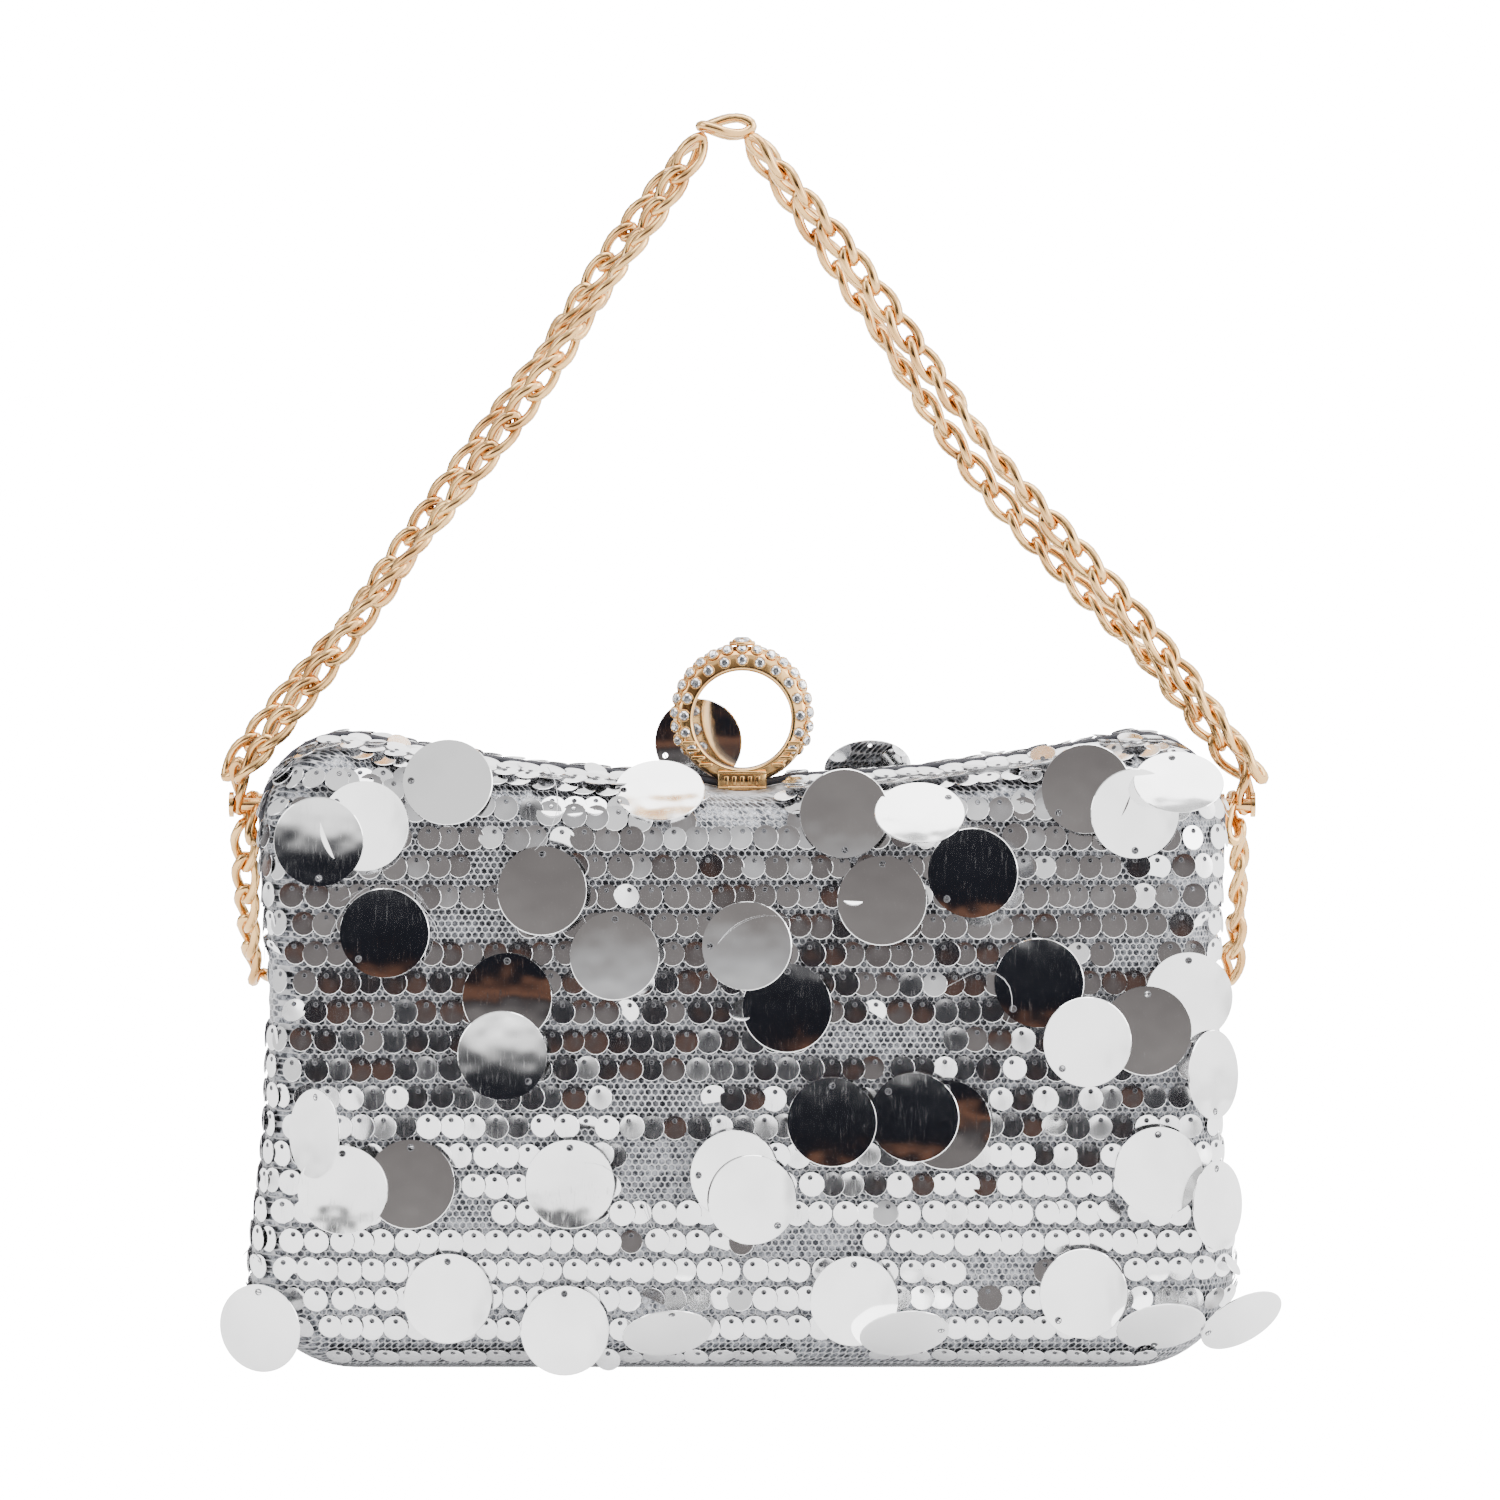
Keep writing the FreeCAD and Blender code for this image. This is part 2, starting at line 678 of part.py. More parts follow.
peak = (-3.0, 6.0, 252.5)
strand_gap = 3.6
for name, shift, spread in (("front", -strand_gap, 1.6), ("back", strand_gap, -1.6)):
    y = size("stud_y") + shift
    chain(f"strand_left_{name}", [
        (-103.6 + spread, y, 119.5), (-89.0 + spread, y, 138.5), (-57.0 + spread, y, 180.0),
        (-21.0 + spread, y, 231.0), (-9.0, y, 248.0),
    ])
    chain(f"strand_right_{name}", [
        (2.5, y, 248.0), (18.0 + spread, y, 228.0), (48.0 + 2 * spread, y, 185.0),
        (86.0 + 1.5 * spread, y, 142.0), (104.0 + spread, y, 119.5),
    ], 45.0)
    chain(f"peak_link_{name}", [(-7.0, y, 251.5), (-3.2, y, 252.6), (0.7, y, 251.5)])

loop_x = size("bag_width") / 2 + 4.2
behind = size("bag_depth") / 2 + 4.2
chain(
    "loop_left",
    [(-loop_x, 8.5, 108.0), (-loop_x, 12.0, 98.0), (-loop_x, 19.5, 86.0), (-loop_x + 0.6, 27.5, 76.0)],
)
chain(
    "loop_right",
    [(loop_x, 8.5, 108.0), (loop_x, 12.0, 98.0), (loop_x, 19.5, 86.0), (loop_x - 0.6, 27.5, 76.0)],
)
chain("loop_behind", [
    (-94.0, behind, 69.0), (-70.0, behind, 61.0), (-35.0, behind, 54.0), (0.0, behind, 52.0),
    (35.0, behind, 54.0), (70.0, behind, 61.0), (94.0, behind, 69.0),
])

# ---------------------------------------------------------------- large paillettes
# centre x and z on the closed bag, and the way from the centre to the sewing hole, in degrees from +X
front_places = (
    (-84.5, 108, 270), (-75.5, 111, 140), (-59, 119, 180), (-40, 98, 90), (-71.5, 89.5, 225),
    (-25.5, 85, 90), (-47, 76.5, 90), (-48, 65, 315), (-16.5, 117, 180), (1, 87, 180), (9, 74.5, 90),
    (20.5, 113, 270), (35.5, 113, 45), (28, 96, 90), (46, 102, 225), (59.5, 79.5, 225), (69, 118, 225),
    (78.5, 113.5, 270), (87, 119.5, 90), (69, 68, 225), (81, 70, 90), (89, 76.5, 90), (94.5, 61, 270),
    (18, 51.5, 90), (34.5, 52.5, 135), (41, 51, 90), (-1.5, 41, 180), (2, 36, 315), (-66.5, 39, 90),
    (-80, 38, 90), (-85.5, 49.5, 90), (-34.5, 39, 90), (-59, 16, 90), (-35.5, 9.5, 90), (-97, 9.5, 90),
    (-15, 9.3, 90), (22.5, 15.5, 90), (32.5, 9.4, 0), (68.5, 17, 225), (84, 10.5, 270), (100.5, 11, 180),
    (83.5, 41.5, 90), (95.5, 34.5, 90),
)
back_places = (
    (-88, 115, 270), (-11, 109, 90), (26, 119, 90), (-62, 104, 90), (-30, 96, 60), (5, 88, 90),
    (44, 99, 120), (80, 108, 90), (70, 84, 90), (-80, 80, 90), (-48, 80, 45), (-14, 82, 90),
    (30, 80, 90), (56, 38, 135), (86, 38, 90), (-88, 30, 90), (-64, 38, 90), (-30, 34, 90),
    (8, 36, 60), (42, 28, 90), (74, 24, 90), (-84, 14, 90), (-44, 12, 90), (0, 11, 90), (52, 10, 90),
)


def on_cover(x, z, side):
    """The point of the closed cover over a place, and the cover's outward normal there."""
    outline = Part.Wire([edge.toShape() for edge in outline_geometry(0.0)])
    face = Part.Face(outline)
    spot = FreeCAD.Vector(x, z, 0)
    gap, pairs, _ = outline.distToShape(Part.Vertex(spot))
    nearest = pairs[0][0]
    inside = face.isInside(spot, 1e-6, True)
    radius = size("face_radius")
    run = max(radius - gap, 0.0) if inside else 0.75 * radius
    rise = math.sqrt(radius**2 - run**2)
    away = (nearest - spot if inside else spot - nearest).normalize()
    point = FreeCAD.Vector(x, side * (size("bag_depth") / 2 - radius + rise), z)
    normal = FreeCAD.Vector(away.x * run, side * rise, away.y * run).normalize()
    return point, normal


def paillettes(label, side, places):
    """Thin discs over the cover, each lifted until it clears the ones already there."""
    discs = []
    for x, z, hole_way in places:
        point, normal = on_cover(x, z, side)
        if z < size("paillette_radius") + 2 or abs(x) > size("bag_width") / 2 - 6:
            normal = FreeCAD.Vector(0, side, 0)
            point.y = side * size("bag_depth") / 2
        turn = math.radians(hole_way)
        hole_way_flat = FreeCAD.Vector(math.cos(turn), 0, math.sin(turn))
        toward = (hole_way_flat - normal * hole_way_flat.dot(normal)).normalize()
        lift = size("paillette_lift")
        while True:
            foot = point + normal * lift
            disc = Part.makeCylinder(size("paillette_radius"), size("paillette_thickness"), foot, normal)
            near = [d for d in discs if d.BoundBox.intersect(disc.BoundBox)]
            if all(d.distToShape(disc)[0] > 0.08 for d in near):
                break
            lift += size("paillette_step")
        hole_at = foot + toward * (size("paillette_radius") - size("paillette_hole_inset")) - normal
        discs.append(disc.cut(Part.makeCylinder(size("paillette_hole"), 3, hole_at, normal)))
    return solid_group(label, discs)


paillettes("front_paillettes", -1, front_places)
paillettes("back_paillettes", 1, back_places)

# ---------------------------------------------------------------- check and write
doc.recompute()
for obj in doc.Objects:
    assert not {"Invalid", "Error"} & set(obj.State), f"{obj.Name} failed: {obj.State}"
os.makedirs("parts", exist_ok=True)
for obj in subparts:
    assert not obj.Shape.isNull() and obj.Shape.isValid(), f"{obj.Label} has no valid shape"
    assert obj.Shape.Solids, f"{obj.Label} has no solid"
    obj.Shape.exportStep(f"parts/{obj.Label}.step")
print(f"{len(subparts)} sub-parts written")
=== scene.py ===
import math
import random

import bmesh
import bpy
from mathutils import Matrix, Quaternion, Vector, noise
from mathutils.bvhtree import BVHTree


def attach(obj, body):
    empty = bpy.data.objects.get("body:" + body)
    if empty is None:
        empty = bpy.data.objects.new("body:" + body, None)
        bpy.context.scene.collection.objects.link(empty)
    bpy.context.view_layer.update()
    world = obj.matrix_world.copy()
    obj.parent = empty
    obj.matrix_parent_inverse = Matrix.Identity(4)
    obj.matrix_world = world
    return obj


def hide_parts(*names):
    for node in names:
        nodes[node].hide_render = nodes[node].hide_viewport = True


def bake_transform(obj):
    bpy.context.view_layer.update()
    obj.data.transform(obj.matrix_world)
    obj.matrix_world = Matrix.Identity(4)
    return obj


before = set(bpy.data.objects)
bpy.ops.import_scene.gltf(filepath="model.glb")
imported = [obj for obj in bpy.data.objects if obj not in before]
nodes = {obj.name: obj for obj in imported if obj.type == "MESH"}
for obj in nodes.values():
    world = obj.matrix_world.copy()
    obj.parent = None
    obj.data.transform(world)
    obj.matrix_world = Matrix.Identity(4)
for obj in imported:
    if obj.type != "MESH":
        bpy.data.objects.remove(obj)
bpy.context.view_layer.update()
mm = 0.001
up = Vector((0, 0, 1))
back = Vector((0, 1, 0))
stage = {"eye": Vector((1.6 * mm, -1.45, 0.205)), "target": Vector((1.6 * mm, 0, 124.5 * mm)), "view": 0.306}


# small helpers for meshes
def placed(name, data):
    piece = bpy.data.objects.new(name, data)
    bpy.context.scene.collection.objects.link(piece)
    return piece


def turns(count, shift=0.0):
    return [2 * math.pi * (k + shift) / count for k in range(count)]


def around(turn, radius, z=0.0):
    # the place at a turn about Z
    return Vector((radius * math.cos(turn), radius * math.sin(turn), z))


def meshPiece(name, verts, faces, material=None, smooth=True):
    mesh = bpy.data.meshes.new(name)
    mesh.from_pydata([tuple(v) for v in verts], [], faces)
    mesh.validate()
    mesh.polygons.foreach_set("use_smooth", [smooth] * len(mesh.polygons))
    if material:
        mesh.materials.append(material)
    return placed(name, mesh)


def joinParts(name, parts, material=None, smooth=True):
    # several (verts, faces) lists as one mesh
    verts, faces = [], []
    for partVerts, partFaces in parts:
        start = len(verts)
        verts += partVerts
        faces += [[start + i for i in face] for face in partFaces]
    return meshPiece(name, verts, faces, material, smooth)


def gridFaces(rows, columns, wrapRows=False, wrapColumns=False):
    faces = []
    for r in range(rows if wrapRows else rows - 1):
        for c in range(columns if wrapColumns else columns - 1):
            r2, c2 = (r + 1) % rows, (c + 1) % columns
            faces.append([r * columns + c, r * columns + c2, r2 * columns + c2, r2 * columns + c])
    return faces


def outward(piece):
    # merges doubles and turns all faces outwards
    mesh = bmesh.new()
    mesh.from_mesh(piece.data)
    bmesh.ops.remove_doubles(mesh, verts=mesh.verts, dist=1e-6)
    bmesh.ops.recalc_face_normals(mesh, faces=mesh.faces)
    mesh.to_mesh(piece.data)
    mesh.free()
    return piece


def creased(piece, most=0.7):
    # keeps the edges of thin or cut pieces sharp, so their faces stay flat mirrors
    piece.data.set_sharp_from_angle(angle=most)
    return piece


def refinish(piece, material):
    piece.data.materials.clear()
    piece.data.materials.append(material)


def dress(piece, material, body, slotName, *replaced):
    refinish(piece, material)
    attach(piece, body)
    if replaced:
        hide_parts(*replaced)
    return piece


def looseParts(nodeName):
    # the separate solids of a CAD node, each as a list of its corner points
    mesh = bmesh.new()
    mesh.from_mesh(nodes[nodeName].data)
    bmesh.ops.remove_doubles(mesh, verts=mesh.verts, dist=1e-6)
    seen, parts = set(), []
    for first in mesh.verts:
        if first.index in seen:
            continue
        seen.add(first.index)
        part, queue = [], [first]
        while queue:
            vert = queue.pop()
            part.append(vert.co.copy())
            for edge in vert.link_edges:
                other = edge.other_vert(vert)
                if other.index not in seen:
                    seen.add(other.index)
                    queue.append(other)
        parts.append(part)
    mesh.free()
    return parts


def middleOf(points):
    return sum(points, Vector()) / len(points)


# Geometry Nodes: pieces on points
def newTree(name, sockets):
    tree = bpy.data.node_groups.new(name, "GeometryNodeTree")
    tree.interface.new_socket("Geometry", in_out="INPUT", socket_type="NodeSocketGeometry")
    for label, kind in sockets:
        tree.interface.new_socket(label, in_out="INPUT", socket_type="NodeSocket" + kind)
    tree.interface.new_socket("Geometry", in_out="OUTPUT", socket_type="NodeSocketGeometry")
    return tree, tree.nodes.new("NodeGroupInput"), tree.nodes.new("NodeGroupOutput")


def feed(tree, socket, source):
    # a socket takes another node's output or a plain value
    if hasattr(source, "is_output"):
        tree.links.new(source, socket)
    else:
        socket.default_value = source


def treeNode(tree, kind, links=None, **settings):
    node = tree.nodes.new(kind)
    for key, value in settings.items():
        setattr(node, key, value)
    for socket, source in (links or {}).items():
        feed(tree, node.inputs[socket], source)
    return node


def finishTree(tree, geometry, given, out):
    real = treeNode(tree, "GeometryNodeRealizeInstances", {"Geometry": geometry})
    coat = treeNode(tree, "GeometryNodeSetMaterial",
                    {"Geometry": real.outputs["Geometry"], "Material": given.outputs["Material"]})
    tree.links.new(coat.outputs["Geometry"], out.inputs["Geometry"])
    return tree


def scatterTree():
    # a piece on every point, turned by the point's own "turn", with a little chance in its tilt
    tree, given, out = newTree("piecesOnPoints", (
        ("Piece", "Object"), ("Material", "Material"), ("Tilt", "Float"), ("Seed", "Int"),
    ))
    take = given.outputs
    piece = treeNode(tree, "GeometryNodeObjectInfo", {"Object": take["Piece"]})
    turn = treeNode(tree, "GeometryNodeInputNamedAttribute", {"Name": "turn"}, data_type="QUATERNION")
    least = treeNode(tree, "ShaderNodeMath", {0: take["Tilt"], 1: -1.0}, operation="MULTIPLY")
    chance = treeNode(tree, "FunctionNodeRandomValue", {
        0: least.outputs[0], 1: take["Tilt"], "Seed": take["Seed"],
    }, data_type="FLOAT_VECTOR")
    tilt = treeNode(tree, "FunctionNodeEulerToRotation", {0: chance.outputs[0]})
    turned = treeNode(tree, "FunctionNodeRotateRotation",
                      {0: turn.outputs["Attribute"], 1: tilt.outputs[0]}, rotation_space="LOCAL")
    grow = treeNode(tree, "GeometryNodeInputNamedAttribute", {"Name": "grow"}, data_type="FLOAT")
    copies = treeNode(tree, "GeometryNodeInstanceOnPoints", {
        "Points": take["Geometry"], "Instance": piece.outputs["Geometry"],
        "Rotation": turned.outputs[0], "Scale": grow.outputs["Attribute"],
    })
    return finishTree(tree, copies.outputs["Instances"], given, out)


def chainTree():
    # links end to end along a curve, each rolled on from the last
    tree, given, out = newTree("linksOnCurve", (
        ("Piece", "Object"), ("Material", "Material"), ("Count", "Int"), ("Roll", "Float"),
        ("Step", "Float"), ("Loose", "Float"), ("Seed", "Int"),
    ))
    take = given.outputs
    piece = treeNode(tree, "GeometryNodeObjectInfo", {"Object": take["Piece"]})
    points = treeNode(tree, "GeometryNodeCurveToPoints",
                      {"Curve": take["Geometry"], "Count": take["Count"]}, mode="COUNT")
    along = treeNode(tree, "FunctionNodeAlignRotationToVector",
                     {"Vector": points.outputs["Tangent"]}, axis="X")
    level = treeNode(tree, "FunctionNodeAlignRotationToVector",
                     {"Rotation": along.outputs[0], "Vector": (0, 1, 0)}, axis="Y", pivot_axis="X")
    index = treeNode(tree, "GeometryNodeInputIndex")
    steps = treeNode(tree, "ShaderNodeMath",
                     {0: index.outputs[0], 1: take["Step"], 2: take["Roll"]},
                     operation="MULTIPLY_ADD")
    least = treeNode(tree, "ShaderNodeMath", {0: take["Loose"], 1: -1.0}, operation="MULTIPLY")
    chance = treeNode(tree, "FunctionNodeRandomValue",
                      {2: least.outputs[0], 3: take["Loose"], "Seed": take["Seed"]},
                      data_type="FLOAT")
    roll = treeNode(tree, "ShaderNodeMath", {0: steps.outputs[0], 1: chance.outputs[1]}, operation="ADD")
    about = treeNode(tree, "FunctionNodeAxisAngleToRotation",
                     {"Axis": (1, 0, 0), "Angle": roll.outputs[0]})
    turned = treeNode(tree, "FunctionNodeRotateRotation", {0: level.outputs[0], 1: about.outputs[0]},
                      rotation_space="LOCAL")
    copies = treeNode(tree, "GeometryNodeInstanceOnPoints", {
        "Points": points.outputs["Points"], "Instance": piece.outputs["Geometry"],
        "Rotation": turned.outputs[0],
    })
    return finishTree(tree, copies.outputs["Instances"], given, out)


def runTree(carrier, tree, name, values):
    # the tree's result on a carrier as a plain mesh piece; the carrier is deleted
    modifier = carrier.modifiers.new(tree.name, "NODES")
    modifier.node_group = tree
    for item in tree.interface.items_tree:
        if item.in_out == "INPUT" and item.name in values:
            modifier[item.identifier] = values[item.name]
    graph = bpy.context.evaluated_depsgraph_get()
    mesh = bpy.data.meshes.new_from_object(carrier.evaluated_get(graph), depsgraph=graph)
    mesh.name = name
    carrier.modifiers.remove(modifier)
    bpy.data.objects.remove(carrier)
    return placed(name, mesh)


def turnTo(facing, upward):
    # the turn that takes local Z to facing and local Y as near to upward as it can
    z = facing.normalized()
    x = upward.cross(z).normalized()
    y = z.cross(x)
    return Matrix((x, y, z)).transposed().to_quaternion()


def pointsCarrier(name, places):
    # loose points with a turn and a growth each, for piecesOnPoints. places: (point, turn, grow)
    mesh = bpy.data.meshes.new(name)
    mesh.from_pydata([tuple(p) for p, _, _ in places], [], [])
    ways = mesh.attributes.new("turn", "QUATERNION", "POINT")
    ways.data.foreach_set("value", [c for _, q, _ in places for c in q])
    grows = mesh.attributes.new("grow", "FLOAT", "POINT")
    grows.data.foreach_set("value", [g for _, _, g in places])
    return placed(name, mesh)


scatter = scatterTree()
linksAlong = chainTree()


def scattered(name, places, prototype, material, tilt=0.0, seed=1):
    values = {"Piece": prototype, "Material": material, "Tilt": tilt, "Seed": seed}
    return runTree(pointsCarrier(name + "Points", places), scatter, name, values)


def dropShapes(*shapes):
    for shape in shapes:
        bpy.data.objects.remove(shape)


# shader helpers and shared effects
def newMaterial(name, **values):
    material = bpy.data.materials.new(name)
    material.use_nodes = True
    shader = material.node_tree.nodes["Principled BSDF"]
    for key, value in values.items():
        shader.inputs[key.replace("_", " ")].default_value = value
    return material, material.node_tree, shader


def effectGroup(name, inputs, outputs):
    group = bpy.data.node_groups.new(name, "ShaderNodeTree")
    for label, kind, value in inputs:
        socket = group.interface.new_socket(label, in_out="INPUT", socket_type="NodeSocket" + kind)
        if value is not None:
            socket.default_value = value
    for label, kind in outputs:
        group.interface.new_socket(label, in_out="OUTPUT", socket_type="NodeSocket" + kind)
    return group, group.nodes.new("NodeGroupInput"), group.nodes.new("NodeGroupOutput")


def useGroup(tree, group, place, **values):
    return treeNode(tree, "ShaderNodeGroup", {"Place": place, **values}, node_tree=group)


def maths(tree, operation, *values):
    return treeNode(tree, "ShaderNodeMath", dict(enumerate(values)), operation=operation).outputs[0]


def mixColours(tree, factor, first, second):
    return treeNode(tree, "ShaderNodeMix", {0: factor, 6: first, 7: second}, data_type="RGBA").outputs[2]


def spread(tree, value, low, high, toLow=0.0, toHigh=1.0):
    # a value's range stretched onto another
    return treeNode(tree, "ShaderNodeMapRange", {0: value, 1: low, 2: high, 3: toLow, 4: toHigh}).outputs[0]


def noiseOn(tree, place, scale, detail, **more):
    return treeNode(tree, "ShaderNodeTexNoise",
                    {"Vector": place, "Scale": scale, "Detail": detail, **more}).outputs[0]


def shadeWith(tree, shader, **inputs):
    for label, value in inputs.items():
        feed(tree, shader.inputs[label.replace("_", " ")], value)


def bumpInto(tree, shader, height, strength, distance):
    bump = treeNode(tree, "ShaderNodeBump", {"Height": height, "Strength": strength, "Distance": distance})
    tree.links.new(bump.outputs["Normal"], shader.inputs["Normal"])


def objectPlace(tree):
    return tree.nodes.new("ShaderNodeTexCoord").outputs["Object"]


def buildHexNet():
    # a net of six-sided cells: where its threads are, from a place in metres
    group, given, out = effectGroup(
        "hexNet", (("Place", "Vector", None), ("Cell", "Float", 0.0014), ("Thread", "Float", 0.16)),
        (("Threads", "Float"), ("Height", "Float")),
    )
    cell = given.outputs["Cell"]
    flat = treeNode(group, "ShaderNodeSeparateXYZ", {0: given.outputs["Place"]})
    across, depth, rise = (maths(group, "DIVIDE", flat.outputs[axis], cell) for axis in "XYZ")
    run = maths(group, "ADD", across, depth)
    tall = math.sqrt(3)
    far = []
    for shift in (0.0, 0.5):
        # two square lattices of cell centres, a half step apart, make a hexagon lattice
        x = maths(group, "WRAP", maths(group, "ADD", run, shift), 0.5, -0.5)
        y = maths(group, "WRAP", maths(group, "ADD", rise, shift * tall), tall / 2, -tall / 2)
        ax, ay = maths(group, "ABSOLUTE", x), maths(group, "ABSOLUTE", y)
        slant = maths(group, "MULTIPLY_ADD", ay, tall / 2, maths(group, "MULTIPLY", ax, 0.5))
        far.append(maths(group, "MAXIMUM", ax, slant))
    edge = maths(group, "SUBTRACT", 0.5, maths(group, "MINIMUM", far[0], far[1]))
    near = maths(group, "DIVIDE", edge, given.outputs["Thread"])
    height = maths(group, "SUBTRACT", 1.0, maths(group, "MINIMUM", near, 1.0))
    threads = maths(group, "SMOOTH_MIN", maths(group, "MULTIPLY", height, 2.0), 1.0, 0.2)
    group.links.new(threads, out.inputs["Threads"])
    group.links.new(height, out.inputs["Height"])
    return group


def buildScuffs():
    # fine scratches and smudges: a mask and a height, from a place in metres
    group, given, out = effectGroup(
        "scuffs", (("Place", "Vector", None), ("Scale", "Float", 900.0), ("Stretch", "Float", 12.0)),
        (("Scratch", "Float"), ("Smudge", "Float")),
    )
    place, scale = given.outputs["Place"], given.outputs["Scale"]
    drawn = treeNode(group, "ShaderNodeVectorMath", {0: place, 1: (1.0, 1.0, 0.12)}, operation="MULTIPLY")
    scratch = noiseOn(group, drawn.outputs[0], scale, 3.0, Roughness=0.7)
    smudge = noiseOn(group, place, maths(group, "DIVIDE", scale, given.outputs["Stretch"]), 2.0)
    group.links.new(scratch, out.inputs["Scratch"])
    group.links.new(smudge, out.inputs["Smudge"])
    return group


def buildWeave():
    # over and under of two thread directions, as a height
    group, given, out = effectGroup(
        "weave", (("Place", "Vector", None), ("Threads", "Float", 2600.0)), (("Height", "Float"),),
    )
    flat = treeNode(group, "ShaderNodeSeparateXYZ", {0: given.outputs["Place"]})
    waves = [maths(group, "SINE", maths(group, "MULTIPLY", flat.outputs[axis], given.outputs["Threads"]))
             for axis in "XYZ"]
    crossings = [maths(group, "MULTIPLY", waves[k], waves[2]) for k in (0, 1)]
    height = maths(group, "ADD", *crossings)
    group.links.new(maths(group, "MULTIPLY_ADD", height, 0.25, 0.5), out.inputs["Height"])
    return group


hexNet, scuffs, weave = buildHexNet(), buildScuffs(), buildWeave()


# finishes
def silverNetCloth():
    # silver lame under a white net
    look = {"cell": 0.00135, "thread": 0.13, "crumple": 700.0, "lame": (0.03, 0.032, 0.038, 1),
            "glint": (0.34, 0.35, 0.38, 1), "net": (0.54, 0.54, 0.56, 1)}
    material, tree, shader = newMaterial("silverNetCloth", Roughness=0.4)
    place = objectPlace(tree)
    net = useGroup(tree, hexNet, place, Cell=look["cell"], Thread=look["thread"])
    crumple = noiseOn(tree, place, look["crumple"], 4.0, Roughness=0.7)
    lame = mixColours(tree, spread(tree, crumple, 0.42, 0.64), look["lame"], look["glint"])
    colour = mixColours(tree, net.outputs["Threads"], lame, look["net"])
    metal = maths(tree, "SUBTRACT", 0.85, maths(tree, "MULTIPLY", net.outputs["Threads"], 0.85))
    dull = maths(tree, "MULTIPLY_ADD", net.outputs["Threads"], 0.4, 0.28)
    shadeWith(tree, shader, Base_Color=colour, Metallic=metal, Roughness=dull)
    height = maths(tree, "MULTIPLY_ADD", crumple, 0.5, net.outputs["Height"])
    bumpInto(tree, shader, height, 0.7, 0.0002)
    return material


def mirrorFoil(name, roughness, tint, ripple):
    # metallised film: a mirror with faint ripples, smudges and scratches
    material, tree, shader = newMaterial(name, Metallic=1.0)
    place = objectPlace(tree)
    marks = useGroup(tree, scuffs, place, Scale=2400.0, Stretch=30.0)
    dull = spread(tree, marks.outputs["Scratch"], 0.55, 0.8, roughness, roughness + 0.12)
    darker = [c * 0.9 for c in tint[:3]] + [1]
    smudge = spread(tree, marks.outputs["Smudge"], 0.4, 0.65)
    shadeWith(tree, shader, Base_Color=mixColours(tree, smudge, tint, darker), Roughness=dull)
    bumpInto(tree, shader, noiseOn(tree, place, 140.0, 1.0), ripple, 0.001)
    return material


def plated(name, colour, roughness, worn):
    # plated metal: the plating thins to a warmer, duller tone in specks and scratches
    material, tree, shader = newMaterial(name, Metallic=1.0)
    marks = useGroup(tree, scuffs, objectPlace(tree), Scale=1500.0, Stretch=14.0)
    wear = spread(tree, marks.outputs["Smudge"], 0.45, 0.75)
    dull = spread(tree, marks.outputs["Scratch"], 0.4, 0.75, roughness, roughness + 0.15)
    shadeWith(tree, shader, Base_Color=mixColours(tree, wear, colour, worn), Roughness=dull)
    bumpInto(tree, shader, marks.outputs["Scratch"], 0.15, 0.00005)
    return material


def satin(name, colour, shade):
    # satin lining cloth with a fine weave, and painted light and shade of folds: broad noise patches between
    # its darker and lighter tone
    material, tree, shader = newMaterial(name, Roughness=0.45, Sheen_Weight=0.4)
    place = objectPlace(tree)
    threads = useGroup(tree, weave, place, Threads=9000.0)
    # painted shade: noise patches stand in for the light and shade of folds in the satin
    paintedFoldShade = noiseOn(tree, place, 60.0, 2.0)
    shadeWith(tree, shader, Base_Color=mixColours(tree, paintedFoldShade, colour, shade))
    bumpInto(tree, shader, threads.outputs["Height"], 0.3, 0.0001)
    return material


def crystalGlass():
    # cut crystal with a foiled back: bright, hard reflections, and painted reflections: noise patches of dark
    # grey and white in the base colour stand in for the facets' flashes of light
    material, tree, shader = newMaterial("cutCrystal", Roughness=0.02, Metallic=0.8)
    # painted reflection: dark and white patches in the base colour for flashing facets
    paintedFlashMask = spread(tree, noiseOn(tree, objectPlace(tree), 1900.0, 1.0), 0.4, 0.6)
    paintedFacetFlashes = mixColours(tree, paintedFlashMask, (0.30, 0.31, 0.35, 1), (1.0, 0.99, 0.98, 1))
    shadeWith(tree, shader, Base_Color=paintedFacetFlashes, Coat_Weight=1.0, Coat_Roughness=0.01)
    return material


def moulded(name, colour):
    material, tree, shader = newMaterial(name, Roughness=0.55)
    grain = noiseOn(tree, objectPlace(tree), 2500.0, 3.0)
    darker = [c * 0.8 for c in colour[:3]] + [1]
    shadeWith(tree, shader, Base_Color=mixColours(tree, grain, colour, darker))
    bumpInto(tree, shader, grain, 0.2, 0.0001)
    return material


cloth = silverNetCloth()
sequinFoil = mirrorFoil("sequinFoil", 0.12, (0.9, 0.9, 0.91, 1), 0.08)
discFoil = mirrorFoil("discFoil", 0.07, (0.9, 0.9, 0.9, 1), 0.12)
roseGold = plated("roseGold", (0.80, 0.49, 0.20, 1), 0.12, (0.50, 0.25, 0.09, 1))
hingeBrass = plated("hingeBrass", (0.8, 0.64, 0.38, 1), 0.3, (0.6, 0.46, 0.27, 1))
zinc = plated("zincSteel", (0.62, 0.62, 0.64, 1), 0.28, (0.45, 0.44, 0.43, 1))
# the second colour is the lighter tone of the painted fold shade
lining = satin("liningSatin", (0.055, 0.055, 0.06, 1), (0.11, 0.11, 0.12, 1))
crystal = crystalGlass()
shellPlastic = moulded("shellPlastic", (0.035, 0.035, 0.045, 1))
threadMaterial = moulded("clearThread", (0.13, 0.13, 0.14, 1))
print("finishes ready")


